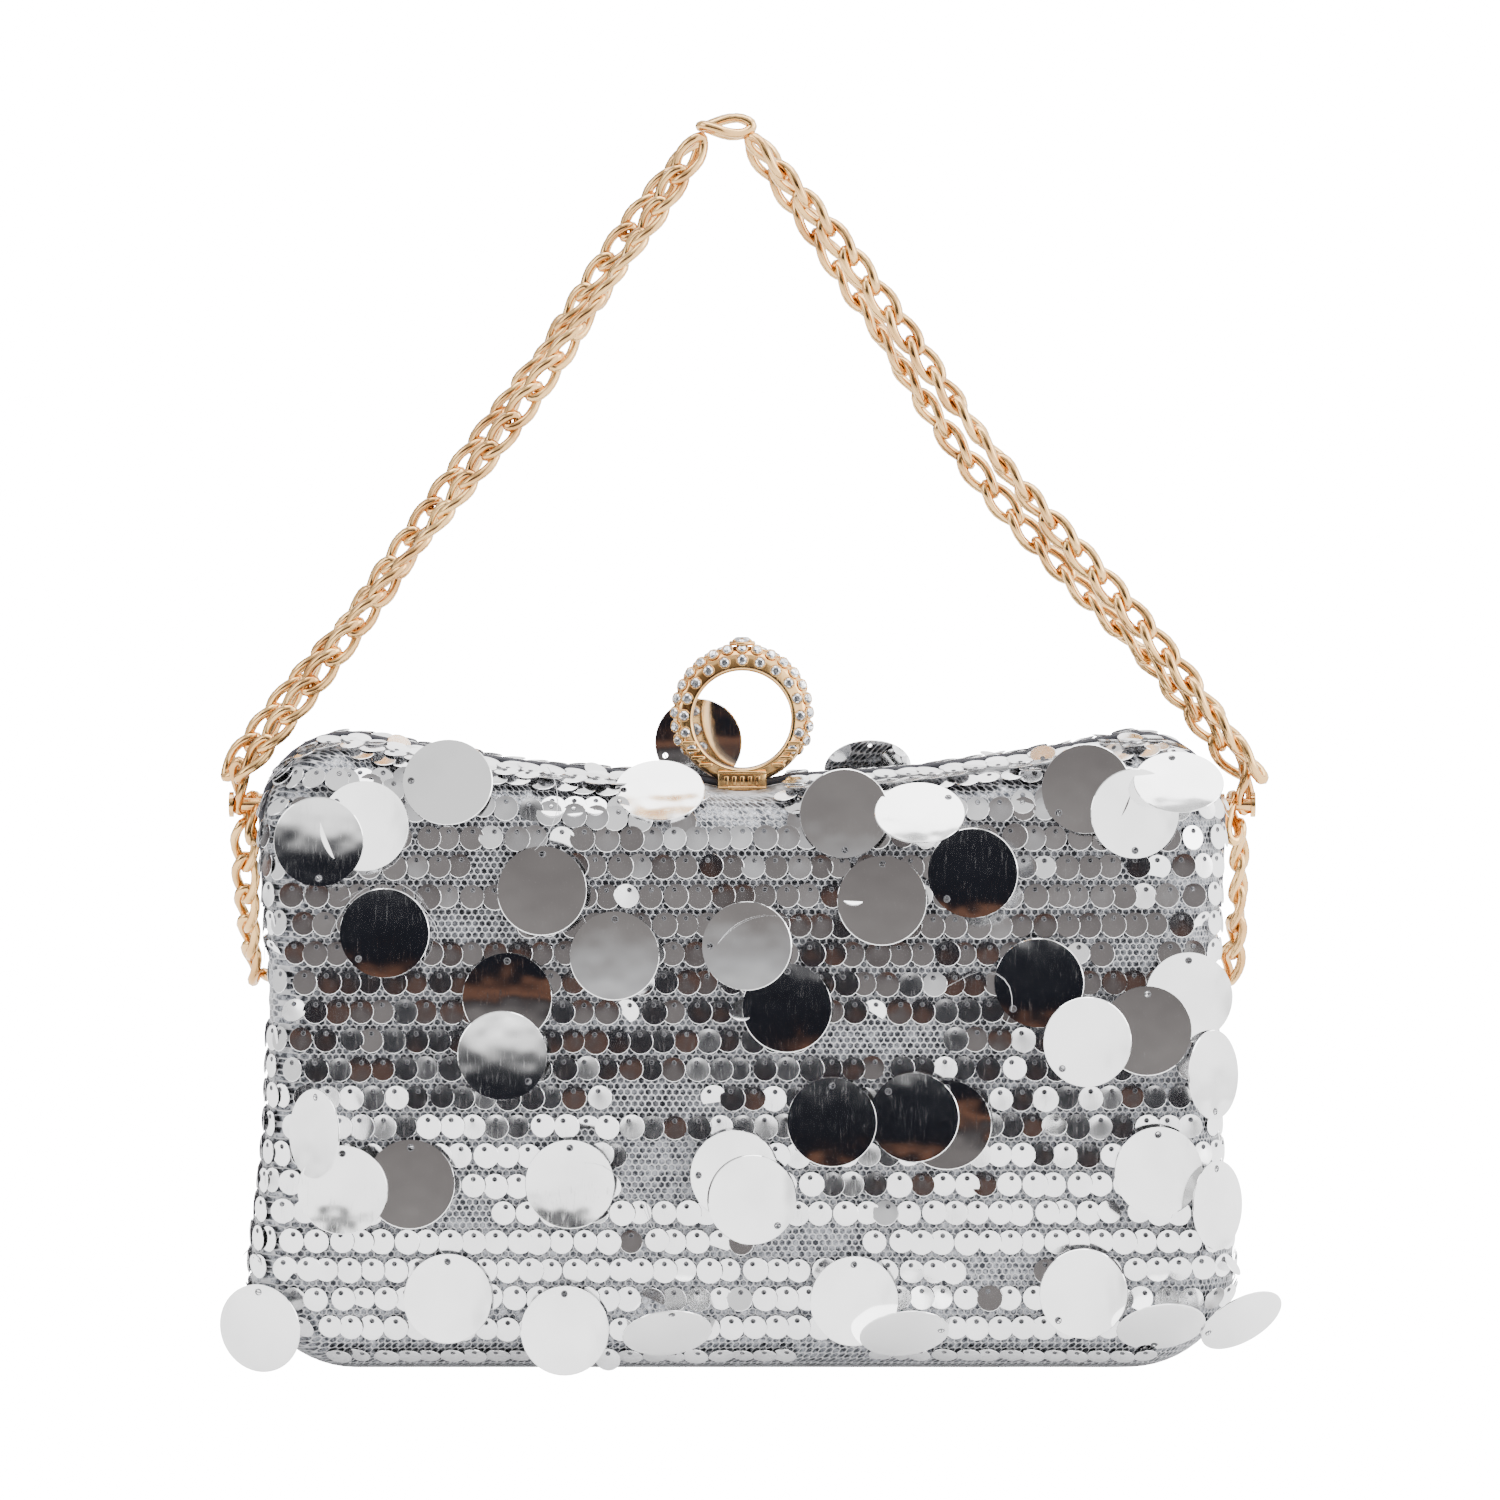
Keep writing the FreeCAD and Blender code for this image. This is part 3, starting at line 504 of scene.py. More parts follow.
# the padded covers
bagShape = {
    "halfWidth": 98 * mm, "earRadius": 16 * mm, "baseRadius": 20 * mm, "topMiddle": 118 * mm,
    "topArc": 380 * mm, "edgeRadius": 12 * mm, "halfDepth": 27 * mm, "rim": 0.45 * mm,
    "crown": 0.9 * mm, "ringSteps": 14, "hingeHeight": 3.7 * mm,
}


def waist(z):
    # how much wider or narrower the soft sides are than the plain outline, by height
    base = math.exp(-((z - 16 * mm) / (26 * mm)) ** 2)
    ears = math.exp(-((z - 112 * mm) / (20 * mm)) ** 2)
    return 0.975 + 0.042 * base + 0.012 * ears


def saddle(x):
    # the dip in the top edge that the clasp's foot stands in
    return 1.7 * mm * (0.5 + 0.5 * math.cos(math.pi * min(abs(x) / (13 * mm), 1)))


def bagOutline(inset, step=2.2 * mm):
    # the bag's outline seen from the front, inside one inset, as (x, z) points, counterclockwise
    b = bagShape
    baseX, earX = b["halfWidth"] - b["baseRadius"], b["halfWidth"] - b["earRadius"]
    topZ = b["topMiddle"] + b["topArc"]
    earZ = topZ - math.sqrt((b["topArc"] + b["earRadius"]) ** 2 - earX ** 2)
    lean = math.atan2(earX, topZ - earZ)
    points = []

    def line(x1, z1, x2, z2):
        count = max(1, round(math.hypot(x2 - x1, z2 - z1) / step))
        points.extend((x1 + (x2 - x1) * k / count, z1 + (z2 - z1) * k / count) for k in range(count))

    def arc(x, z, radius, start, end):
        count = max(3, round(abs(end - start) * radius / step))
        for k in range(count):
            turn = start + (end - start) * k / count
            points.append((x + radius * math.cos(turn), z + radius * math.sin(turn)))

    half = b["halfWidth"] - inset
    quarter = math.pi / 2
    line(-baseX, inset, baseX, inset)
    arc(baseX, b["baseRadius"], b["baseRadius"] - inset, -quarter, 0)
    line(half, b["baseRadius"], half, earZ)
    arc(earX, earZ, b["earRadius"] - inset, 0, quarter + lean)
    arc(0, topZ, b["topArc"] + inset, -quarter + lean, -quarter - lean)
    arc(-earX, earZ, b["earRadius"] - inset, quarter - lean, math.pi)
    line(-half, earZ, -half, b["baseRadius"])
    arc(-baseX, b["baseRadius"], b["baseRadius"] - inset, math.pi, math.pi + quarter)
    return [(x * waist(z), z - saddle(x) if z > 0.1 else z) for x, z in points]


def dishRings(side, inset, crown):
    # rings of points from the rim over the rounded edge to the middle of the face, for one layer
    b = bagShape
    outline = bagOutline(inset)
    centre = Vector((0, 0, 60 * mm))
    rings = []
    sideDepth = b["halfDepth"] - b["edgeRadius"]
    for k in range(5):
        y = b["rim"] + (sideDepth - b["rim"]) * k / 4
        rings.append([Vector((x, side * y, z)) for x, z in outline])
    radius = b["edgeRadius"] - inset
    normals = []
    for k, (x, z) in enumerate(outline):
        x0, z0 = outline[k - 1]
        x1, z1 = outline[(k + 1) % len(outline)]
        normals.append(Vector((z1 - z0, 0, x0 - x1)).normalized())
    for k in range(1, 8):
        turn = math.pi / 2 * k / 7
        inward, depth = radius * (1 - math.cos(turn)), sideDepth + radius * math.sin(turn)
        rings.append([Vector((x, side * depth, z)) - n * inward for (x, z), n in zip(outline, normals)])
    edge = rings[-1]
    for k in range(1, b["ringSteps"]):
        share = 1 - k / b["ringSteps"]
        bulge = side * crown * (1 - share ** 2)
        rings.append([centre.lerp(p, share) for p in edge])
        for p, q in zip(rings[-1], edge):
            p.y = q.y + bulge
    tip = Vector((centre.x, edge[0].y + side * crown, centre.z))
    return rings, tip


def dishShell(name, side, outer, inner, crown, wrinkle, seed):
    # a closed soft shell between two insets, with the cloth's small dents
    outerRings, outerTip = dishRings(side, outer, crown)
    innerRings, innerTip = dishRings(side, inner, 0.0)
    count = min(len(outerRings[0]), len(innerRings[0]))

    def resampled(ring):
        total = len(ring)
        places = [k * total / count for k in range(count)]
        return [ring[int(s)].lerp(ring[(int(s) + 1) % total], s - int(s)) for s in places]

    outerRings = [resampled(r) for r in outerRings]
    innerRings = [resampled(r) for r in innerRings]
    rings = list(reversed(innerRings)) + outerRings
    verts = [p for ring in rings for p in ring]
    faces = gridFaces(len(rings), count, wrapColumns=True)
    firstTip, lastTip = len(verts), len(verts) + 1
    verts += [innerTip, outerTip]
    last = (len(rings) - 1) * count
    for k in range(count):
        faces.append([firstTip, (k + 1) % count, k])
        faces.append([lastTip, last + k, last + (k + 1) % count])
    for k, p in enumerate(verts):
        broad = noise.noise(Vector((p.x, p.z, seed)) * 55)
        dent = broad + 0.5 * noise.noise(Vector((p.x, p.z, seed + 9)) * 130)
        away = min(1.0, max(0.0, (abs(p.y) - 4 * mm) / (12 * mm)))
        p.y += side * wrinkle * dent * away
        # room for the rims to turn about the hinge
        least = bagShape["rim"] + 0.55 * max(0.0, bagShape["hingeHeight"] - p.z)
        if abs(p.y) < least:
            p.y = side * least
    return outward(meshPiece(name, verts, faces))


covers, linings = {}, {}
for half, side in (("front", -1), ("back", 1)):
    cover = dishShell(half + "CoverPad", side, 0.0, 3.45 * mm, bagShape["crown"], 0.35 * mm, side * 3.0)
    covers[half] = dress(cover, cloth, half, "silver_cloth", half + "_cover", half + "_padding")
    inside = dishShell(half + "LiningCloth", side, 5.75 * mm, 6.4 * mm, 0.0, 0.25 * mm, side * 7.0)
    linings[half] = dress(inside, lining, half, "lining_cloth", half + "_lining")
print("covers and linings ready")


def surfaceTree(piece):
    mesh = bmesh.new()
    mesh.from_mesh(piece.data)
    tree = BVHTree.FromBMesh(mesh)
    mesh.free()
    return tree


coverSurface = {half: surfaceTree(piece) for half, piece in covers.items()}


# large hanging paillettes
paillette = {
    "radius": 9 * mm, "hole": 0.55 * mm, "holeOut": 1.6 * mm, "dish": 0.22 * mm, "sides": 48,
    "thickness": 0.2 * mm, "rings": 5, "bevel": 0.012, "lift": 2.5 * mm, "gap": 0.35 * mm,
    "mostLift": 6 * mm, "outermost": 41 * mm, "coil": 0.62 * mm, "wire": 0.12 * mm, "mostSlant": 0.42,
    "near": 3.2,
}
# where a disc of each tone sends the eye: a way across and a rise
glances = {
    "dark": (-0.1, -0.06), "brown": (-0.1, 0.05), "taupe": (-0.15, 0.24), "silver": (-0.1, -0.17),
    "grey": (-0.1, 0.4), "white": (0.4, 0.02),
}
# discs that hang under their neighbours, so they come first
hungFirst = ((-75.5, 111), (9, 74.5), (41, 51), (34.5, 52.5), (89, 76.5), (81, 70))
# discs that stand well off the cover, by their own facing
stands = {
    "lying": (0, -0.62, 0.78), "under": (0.1, -0.6, -0.8), "turned": (0.8, -0.6, 0.05),
    "turnedLeft": (-0.8, -0.6, 0.05), "corner": (0.4, -0.6, -0.69),
}
# the tone of each disc by its place in millimetres, across and up
toneAt = {
    "silver": ((-84.5, 108), (-80, 38), (-34.5, 39), (-48, 65)),
    "white": ((-75.5, 111), (78.5, 113.5), (69, 68), (89, 76.5), (-1.5, 41), (2, 36), (-59, 16),
              (83.5, 41.5), (22.5, 15.5), (68.5, 17), (-35.5, 9.5)),
    "taupe": ((-40, 98), (20.5, 113), (28, 96), (69, 118), (81, 70), (-66.5, 39), (-59, 119)),
    "dark": ((-90, 111.5), (-71.5, 89.5), (9, 74.5), (46, 102), (59.5, 79.5), (18, 51.5), (34.5, 52.5)),
    "brown": ((-47, 76.5), (41, 51)),
    "grey": ((-25.5, 85), (1, 87), (-97, 9.5)),
    "lying": ((-16.5, 117), (35.5, 113), (87, 119.5)),
    "under": ((-15, 9.3), (32.5, 9.4), (84, 10.5)),
    "turned": ((94.5, 61), (95.5, 34.5)),
    "turnedLeft": ((-85.5, 49.5),),
    "corner": ((100.5, 11),),
}


def pailletteHang(part):
    # centre, normal and the way to the sewing hole of one of the CAD's paillettes
    centre = Vector((min(p[k] for p in part) + max(p[k] for p in part)) / 2 for k in range(3))
    far = [p for p in part if (p - centre).length > 8.8 * mm]
    near = [p for p in part if (p - centre).length <= 8.4 * mm]
    normal = Vector()
    for k in range(len(far)):
        a, b = far[k] - centre, far[(k * 7 + 3) % len(far)] - centre
        n = a.cross(b)
        if n.length > 1e-6:
            normal += n * (1 if n.y < 0 else -1)
    toHole = (middleOf(near) - centre) if near else up
    return centre, normal.normalized(), toHole.normalized()


def toneOf(centre, chance):
    for tone, spots in toneAt.items():
        if any(math.hypot(centre.x / mm - x, centre.z / mm - z) < paillette["near"] for x, z in spots):
            return tone
    return "white" if centre.z < 0.034 else chance.choice(("own", "own", "taupe", "silver"))


def planeAt(disc, x, z):
    # how far back a disc's plane is over a place
    centre, normal, _ = disc
    return centre.y - (normal.x * (x - centre.x) + normal.z * (z - centre.z)) / normal.y


def clearance(disc, others, side):
    # how far a disc must come out to lie over the ones it overlaps
    need = 0.0
    centre, radius = disc[0], paillette["radius"]
    for other in others:
        if (other[0] - centre).length > 2.1 * radius:
            continue
        for reach in (0.0, 0.5, 0.98):
            for turn in turns(20):
                x = centre.x + reach * radius * math.cos(turn)
                z = centre.z + reach * radius * math.sin(turn)
                if math.hypot(x - other[0].x, z - other[0].z) < radius:
                    apart = side * (planeAt(other, x, z) - planeAt(disc, x, z))
                    need = max(need, apart + paillette["gap"])
    return min(need, paillette["mostLift"])


def hangAll(half, side):
    # every disc of one half, lifted clear of the rows and of the discs it lies over, and turned to its glance
    chance = random.Random(17 + side)
    discs, hangs = [], [pailletteHang(part) for part in looseParts(half + "_paillettes")]
    if side < 0:
        for rank, (x, z) in enumerate(hungFirst):
            found = min(range(len(hangs)),
                        key=lambda k: math.hypot(hangs[k][0].x / mm - x, hangs[k][0].z / mm - z))
            hangs.insert(rank, hangs.pop(found))
        # one more at the upper left corner
        hangs[:0] = [(Vector((-90, -20, 111.5)) * mm, Vector((-0.2, -1, 0.1)).normalized(), up)]
    for centre, normal, toHole in hangs:
        normal = normal * (1 if normal.y * side > 0 else -1)
        point, face, _, _ = coverSurface[half].find_nearest(centre)
        tone = toneOf(centre, chance)
        if side < 0 and tone in stands:
            normal = Vector(stands[tone]).normalized()
        elif side < 0 and tone != "own":
            across, rise = glances[tone]
            seen = (centre - stage["eye"]).normalized()
            wanted = (Vector((across, -1, rise)).normalized() - seen).normalized()
            share = min(1.0, paillette["mostSlant"] / max(face.angle(wanted), 0.01))
            normal = face.lerp(wanted, share).normalized()
        lift = paillette["lift"] + paillette["radius"] * 0.5 * math.sin(face.angle(normal))
        place = point + face * lift
        if side < 0:
            place.x, place.z = centre.x, centre.z
        place.z = max(place.z, paillette["radius"] * math.sqrt(1 - normal.z ** 2) + 0.5 * mm)
        place.y += side * clearance((place, normal, toHole), discs, side)
        most = paillette["outermost"] - paillette["radius"] * math.sqrt(1 - normal.y ** 2)
        place.y = side * min(side * place.y, most)
        discs.append((place, normal, toHole))
    return discs


hung = {half: hangAll(half, side) for half, side in (("front", -1), ("back", 1))}
# one more behind the ring
behindRing = Vector((-9, 11, 125.5)) * mm, Vector((-0.12, -1, 0.045)), Vector((-1, 0, -0.4))
hung["back"].append((behindRing[0], behindRing[1].normalized(), behindRing[2].normalized()))
hanging = {half: [centre for centre, _, _ in discs] for half, discs in hung.items()}


# rows of small sequins
sequinRows = {
    "pitch": 5.8 * mm, "spacing": 4.5 * mm, "firstRow": 3.5 * mm, "radius": 2.55 * mm, "hole": 0.42 * mm,
    "holeOut": 1.15 * mm, "dish": 0.05 * mm, "sides": 16, "thickness": 0.1 * mm, "rings": 1, "bevel": 0.03,
    "coil": 0.46 * mm, "wire": 0.10 * mm, "lift": 0.75 * mm, "tilt": 0.03, "shingle": -0.09, "lean": 0.2,
    "level": 0.058, "flat": 0.62, "gaps": -0.4, "flipShare": 0.06, "ringClear": 8 * mm, "discClear": 6.2 * mm,
}


def discPrototype(name, disc):
    # a round sequin with a hole near its edge and a pressed rim; it hangs from the hole
    radius, hole, sides = disc["radius"], disc["hole"], disc["sides"]
    centreOfHole = Vector((0, radius - disc["holeOut"], 0))
    front = [k / disc["rings"] * (1 - disc["bevel"]) for k in range(disc["rings"] + 1)] + [1.0]
    verts, starts = [], []
    for skin, levels in ((1, front), (-1, [0.0, 1.0])):
        for level in levels:
            starts.append(len(verts))
            for turn in turns(sides):
                p = (centreOfHole + around(turn, hole)).lerp(around(turn, radius), level)
                height = -0.1 if skin > 0 and level == 1.0 else skin * 0.5
                p.z = disc["dish"] * ((p.x ** 2 + p.y ** 2) / radius ** 2 - 1) + height * disc["thickness"]
                verts.append(p - centreOfHole)
    order = list(range(len(front))) + [len(front) + 1, len(front)]
    faces = []
    for a, b in zip(order, order[1:] + order[:1]):
        for k in range(sides):
            k2 = (k + 1) % sides
            faces.append([starts[a] + k, starts[a] + k2, starts[b] + k2, starts[b] + k])
    return creased(outward(meshPiece(name, verts, faces)), 0.25)


def stitchPrototype(name, disc, sides):
    # a small coil of clear thread that lines the sewing hole, with one strand across it
    radius, wire, verts = disc["coil"], disc["wire"], []
    for turn in turns(sides):
        for roll in turns(3):
            verts.append(around(turn, radius + wire * math.cos(roll), wire * (0.6 + math.sin(roll))))
    faces = gridFaces(sides, 3, True, True)
    start = len(verts)
    for x in (-radius, radius):
        for roll in turns(3):
            verts.append(Vector((x, wire * math.cos(roll), wire * (0.4 + math.sin(roll)))))
    faces += [[start + j, start + (j + 1) % 3, start + 3 + (j + 1) % 3, start + 3 + j] for j in range(3)]
    return outward(meshPiece(name, verts, faces))


def rowPlaces(half, side, chance):
    # where the small sequins of one half are sewn: places on the cover, turns and growths
    r = sequinRows
    surface = coverSurface[half]
    places = []

    def tryRay(origin, direction, accept, rowNumber, along):
        hit, normal, _, _ = surface.ray_cast(origin, direction)
        if hit is None or not accept(normal):
            return
        if noise.noise(Vector((along * 30, rowNumber * 1.7, side * 4.0))) < r["gaps"]:
            return
        if normal.y * side > 0.85:
            normal = normal.lerp(back * side, 0.75).normalized()
        fall = up - normal * up.dot(normal)
        if fall.length < 0.2:
            fall = back * side
        turn = turnTo(normal, fall)
        if min(((hit - disc).length for disc in hanging[half]), default=1) < r["discClear"]:
            return
        yaw = Quaternion((0, 1, 0), r["shingle"] + chance.gauss(0, r["tilt"]))
        lean = r["lean"] * (hit.z - r["level"]) / 0.06
        pitch = Quaternion((1, 0, 0), -lean + chance.gauss(0, r["tilt"]))
        if chance.random() < r["flipShare"]:
            pitch = Quaternion((1, 0, 0), chance.uniform(-0.7, 0.5))
        spin = Quaternion((0, 0, 1), chance.gauss(0, 0.25))
        point = hit + normal * r["lift"] + fall.normalized() * r["radius"] * 0.7
        places.append((point, turn @ spin @ yaw @ pitch, chance.uniform(0.94, 1.05)))

    rowCount = int(0.132 / r["pitch"])
    for row in range(rowCount):
        z = r["firstRow"] + row * r["pitch"]
        count = int(0.21 / r["spacing"])
        for k in range(count):
            x = (k - count / 2 + (row % 2) * 0.5) * r["spacing"] + chance.gauss(0, 0.15 * mm)
            sag = 0.7 * mm * noise.noise(Vector((x * 14, row, 3.0)))
            if side < 0 and abs(x) < r["ringClear"] and z > 0.112:
                continue
            tryRay(Vector((x, side * 0.08, z + sag)), Vector((0, -side, 0)),
                   lambda n: n.y * side > r["flat"], row, x)
        for way in (-1, 1):
            for k in range(7):
                y = side * (3 * mm + k * r["spacing"])
                tryRay(Vector((way * 0.15, y, z)), Vector((-way, 0, 0)),
                       lambda n: n.x * way > r["flat"] and abs(n.y) <= r["flat"], row, y + way)
    b = bagShape
    for row, turn in enumerate((0.42, 0.95)):
        for j in range(36):
            x = (j - 17.5 + row * 0.5) * r["spacing"]
            if abs(x) < r["ringClear"]:
                continue
            crest = b["topMiddle"] + b["topArc"] - math.sqrt(b["topArc"] ** 2 - x ** 2) - b["edgeRadius"]
            way = Vector((0, side * math.cos(turn), math.sin(turn)))
            start = Vector((x, side * (b["halfDepth"] - b["edgeRadius"]), crest)) + way * 0.06
            tryRay(start, -way, lambda n: n.z > 0.1, row + 60, x)
    for k in range(7):
        y = side * (5.4 * mm + k * r["pitch"] * 0.8)
        for j in range(46):
            x = (j - 22.5) * r["spacing"]
            if abs(x) < r["ringClear"]:
                continue
            tryRay(Vector((x, y, 0.2)), Vector((0, 0, -1)),
                   lambda n: n.z > 0.6 and abs(n.y) <= r["flat"], k + 40, x)
    return places


def sewOn(name, half, places, shapes, foil, tilts, seeds, *replaced):
    # one half's discs and the stitches that hold them
    names = half + name[0], half + name[1]
    discs = scattered(names[0], places, shapes[0], foil, tilts[0], seeds[0])
    dress(discs, foil, half, "mirror_foil", *replaced)
    sewn = [(point, turn, 1.0) for point, turn, _ in places]
    ties = scattered(names[1], sewn, shapes[1], threadMaterial, tilts[1], seeds[1])
    dress(ties, threadMaterial, half, "silver_cloth")


small = discPrototype("smallSequinShape", sequinRows), stitchPrototype("smallStitchShape", sequinRows, 7)
for half, side in (("front", -1), ("back", 1)):
    places = rowPlaces(half, side, random.Random(41 + side))
    sewOn(("SequinRows", "SequinStitches"), half, places, small, sequinFoil, (0.04, 0.1), (5, 6))
    print(f"{half}: {len(places)} small sequins")

large = discPrototype("largePailletteShape", paillette), stitchPrototype("pailletteThreadShape", paillette, 14)
toHoleCentre = Vector((0, paillette["radius"] - paillette["holeOut"], 0))
for half, discs in hung.items():
    places = []
    for centre, normal, toHole in discs:
        turn = turnTo(normal, toHole)
        places.append((centre + turn @ toHoleCentre, turn, 1.0))
    sewOn(("Paillettes", "PailletteThreads"), half, places, large, discFoil, (0.0, 0.15), (2, 3),
          half + "_paillettes")
dropShapes(*small, *large)
print("paillettes hung")


# a few loose ends of the clear sewing thread
looseThread = {
    "wire": 0.09 * mm, "length": 26 * mm, "steps": 14,
    "spots": ((-64, 96, 2.2), (-44, 104, 0.4), (-61, 88, 1.4), (12, 92, 2.8), (52, 70, 0.9), (-18, 30, 2.0)),
}


def threadPart(x, z, way, number):
    verts, at = [], Vector((x, 0, z)) * mm
    wire, steps = looseThread["wire"], looseThread["steps"]
    for k in range(steps + 1):
        hit, face, _, _ = coverSurface["front"].ray_cast(Vector((at.x, -0.08, at.z)), back)
        if hit is None:
            break
        lift = (1.2 + 2.4 * math.sin(math.pi * k / steps)) * mm
        for roll in turns(3):
            aside = Vector((1, 0, 0)) * wire * math.cos(roll)
            verts.append(hit + face * (lift + wire * math.sin(roll)) + aside)
        way += 0.16 + 0.35 * noise.noise(Vector((number * 3.1, k * 0.4, 0)))
        at += Vector((math.cos(way), 0, math.sin(way))) * looseThread["length"] / steps
    return verts, gridFaces(len(verts) // 3, 3, wrapColumns=True)


threadEnds = joinParts("looseThreads", [threadPart(*spot, k) for k, spot in enumerate(looseThread["spots"])])
looseMaterial = moulded("paleThread", (0.62, 0.62, 0.64, 1))
dress(outward(threadEnds), looseMaterial, "front", "silver_cloth")


# chain strap
link = {
    "length": 12.6 * mm, "width": 5.9 * mm, "wire": 2.05 * mm, "twist": 0.85, "swell": 0.12, "loose": 0.16,
    "steps": 22, "sides": 8,
}


def linkPrototype():
    # a curb link along X: an oval of round wire, twisted between its ends
    halfLong, halfWide = (link["length"] - link["wire"]) / 2, (link["width"] - link["wire"]) / 2
    rings = []
    for turn in turns(link["steps"]):
        wide = halfWide * math.sin(turn) * (1.0 + link["swell"] * math.sin(turn) ** 2)
        flat = Vector((halfLong * math.cos(turn), wide, 0))
        rings.append(Quaternion((1, 0, 0), link["twist"] * flat.x / halfLong) @ flat)
    verts = []
    for k, p in enumerate(rings):
        along = (rings[(k + 1) % len(rings)] - rings[k - 1]).normalized()
        outwards = (p - Vector((p.x * 0.55, 0, 0))).normalized()
        aside = along.cross(outwards).normalized()
        outwards = aside.cross(along)
        for turn in turns(link["sides"]):
            verts.append(p + (outwards * math.cos(turn) + aside * math.sin(turn)) * link["wire"] / 2)
    return outward(meshPiece("curbLinkShape", verts, gridFaces(link["steps"], link["sides"], True, True)))


def routeOf(nodeName):
    # the middles of a CAD chain's links, in order along it
    middles = [middleOf(part) for part in looseParts(nodeName)]
    spread = [max(p[k] for p in middles) - min(p[k] for p in middles) for k in range(3)]
    axis = spread.index(max(spread))
    return sorted(middles, key=lambda p: p[axis])


curbLink = linkPrototype()
chainPlan = {
    "strand_left_front": ("strap", 0.5, 0.36), "strand_left_back": ("strap", 1.4, 0.36),
    "strand_right_front": ("strap", 0.2, -0.30), "strand_right_back": ("strap", 1.1, -0.30),
    "peak_link_front": ("strap", 0.6, 0.0), "peak_link_back": ("strap", 0.9, 0.0),
    "loop_left": ("loop", 0.3, 0.3), "loop_right": ("loop", 0.7, -0.3), "loop_behind": ("loop", 0.4, 0.25),
}
for seed, (nodeName, (body, roll, step)) in enumerate(chainPlan.items()):
    route = routeOf(nodeName)
    count = len(route)
    if nodeName == "loop_behind":
        # one more link at each end closes the way to the side chains
        joins = [min(routeOf(side), key=lambda p: p.z).lerp(end, 0.5)
                 for side, end in (("loop_left", route[0]), ("loop_right", route[-1]))]
        route = [joins[0], *route, joins[1]]
        count += 2
    if count == 1:
        reach = Vector((0.1 * mm, 0, 0))
        route = [route[0] - reach, route[0], route[0] + reach]
    curve = bpy.data.curves.new(nodeName + "Route", "CURVE")
    curve.dimensions = "3D"
    spline = curve.splines.new("POLY")
    spline.points.add(len(route) - 1)
    for point, place in zip(spline.points, route):
        point.co = (*place, 1)
    values = {"Piece": curbLink, "Material": roseGold, "Count": count, "Roll": roll, "Step": step,
              "Loose": link["loose"], "Seed": seed}
    piece = runTree(placed(nodeName + "Route", curve), linksAlong, "chain." + nodeName, values)
    dress(piece, roseGold, body, "rose_gold", nodeName)
# the end links that hang on the side studs
for side, label in ((-1, "left"), (1, "right")):
    for kind, x, z, tilt in (("strap", 103.0, 116.8, 0.15), ("loop", 100.5, 110.2, -0.5)):
        rolled = Quaternion((0, 1, 0), math.pi / 2) @ Quaternion((1, 0, 0), 0.35 * side)
        at = Vector((side * x, 6, z)) * mm, Quaternion((1, 0, 0), tilt) @ rolled, 1.0
        hook = scattered(f"endLink.{kind}.{label}", [at], curbLink, roseGold)
        dress(hook, roseGold, kind, "rose_gold", f"{kind}_ring_{label}")
dropShapes(curbLink)
print("chain linked")


# clasp ring and its crystals
ring = {
    "centre": Vector((0, 0, 130.8 * mm)), "finger": 10 * mm, "outer": 14 * mm, "rise": 0.9 * mm,
    "half": 3.5 * mm, "rimStone": 2.0 * mm, "topStone": 4.6 * mm, "topLift": 0.75 * mm, "steps": 128,
}


def ringOuter(turn):
    # distance from the finger's centre to the outer circle, which sits a little higher
    rise, outer = ring["rise"], ring["outer"]
    return rise * math.sin(turn) + math.sqrt(outer ** 2 - (rise * math.cos(turn)) ** 2)


def ringPlace(turn, radius, y):
    return ring["centre"] + Vector((radius * math.cos(turn), y, radius * math.sin(turn)))


def ringCasting():
    # the ring's metal: lipped finger hole, dished faces, domed rim
    profile = [(0.0, 0.0), (0.0, 0.84), (0.05, 0.96), (0.14, 1.0), (0.24, 0.97), (0.5, 0.93), (0.68, 0.84),
               (0.84, 0.64), (0.95, 0.38), (1.0, 0.15), (1.0, 0.0)]
    profile += [(a, -b) for a, b in reversed(profile[1:-1])]
    verts = []
    for turn in turns(ring["steps"]):
        thick = ringOuter(turn) - ring["finger"]
        for share, wide in profile:
            verts.append(ringPlace(turn, ring["finger"] + thick * share, wide * ring["half"]))
    return verts, gridFaces(ring["steps"], len(profile), True, True)


def roundedBlock(low, high, bevel):
    # a block between two corners in millimetres, with rounded edges
    mesh = bmesh.new()
    bmesh.ops.create_cube(mesh, size=1)
    for vert in mesh.verts:
        vert.co = Vector(low[k] if vert.co[k] < 0 else high[k] for k in range(3)) * mm
    bmesh.ops.bevel(mesh, geom=mesh.edges[:], offset=bevel * mm, segments=3, profile=0.5, affect="EDGES")
    made = [v.co.copy() for v in mesh.verts], [[v.index for v in f.verts] for f in mesh.faces]
    mesh.free()
    return made


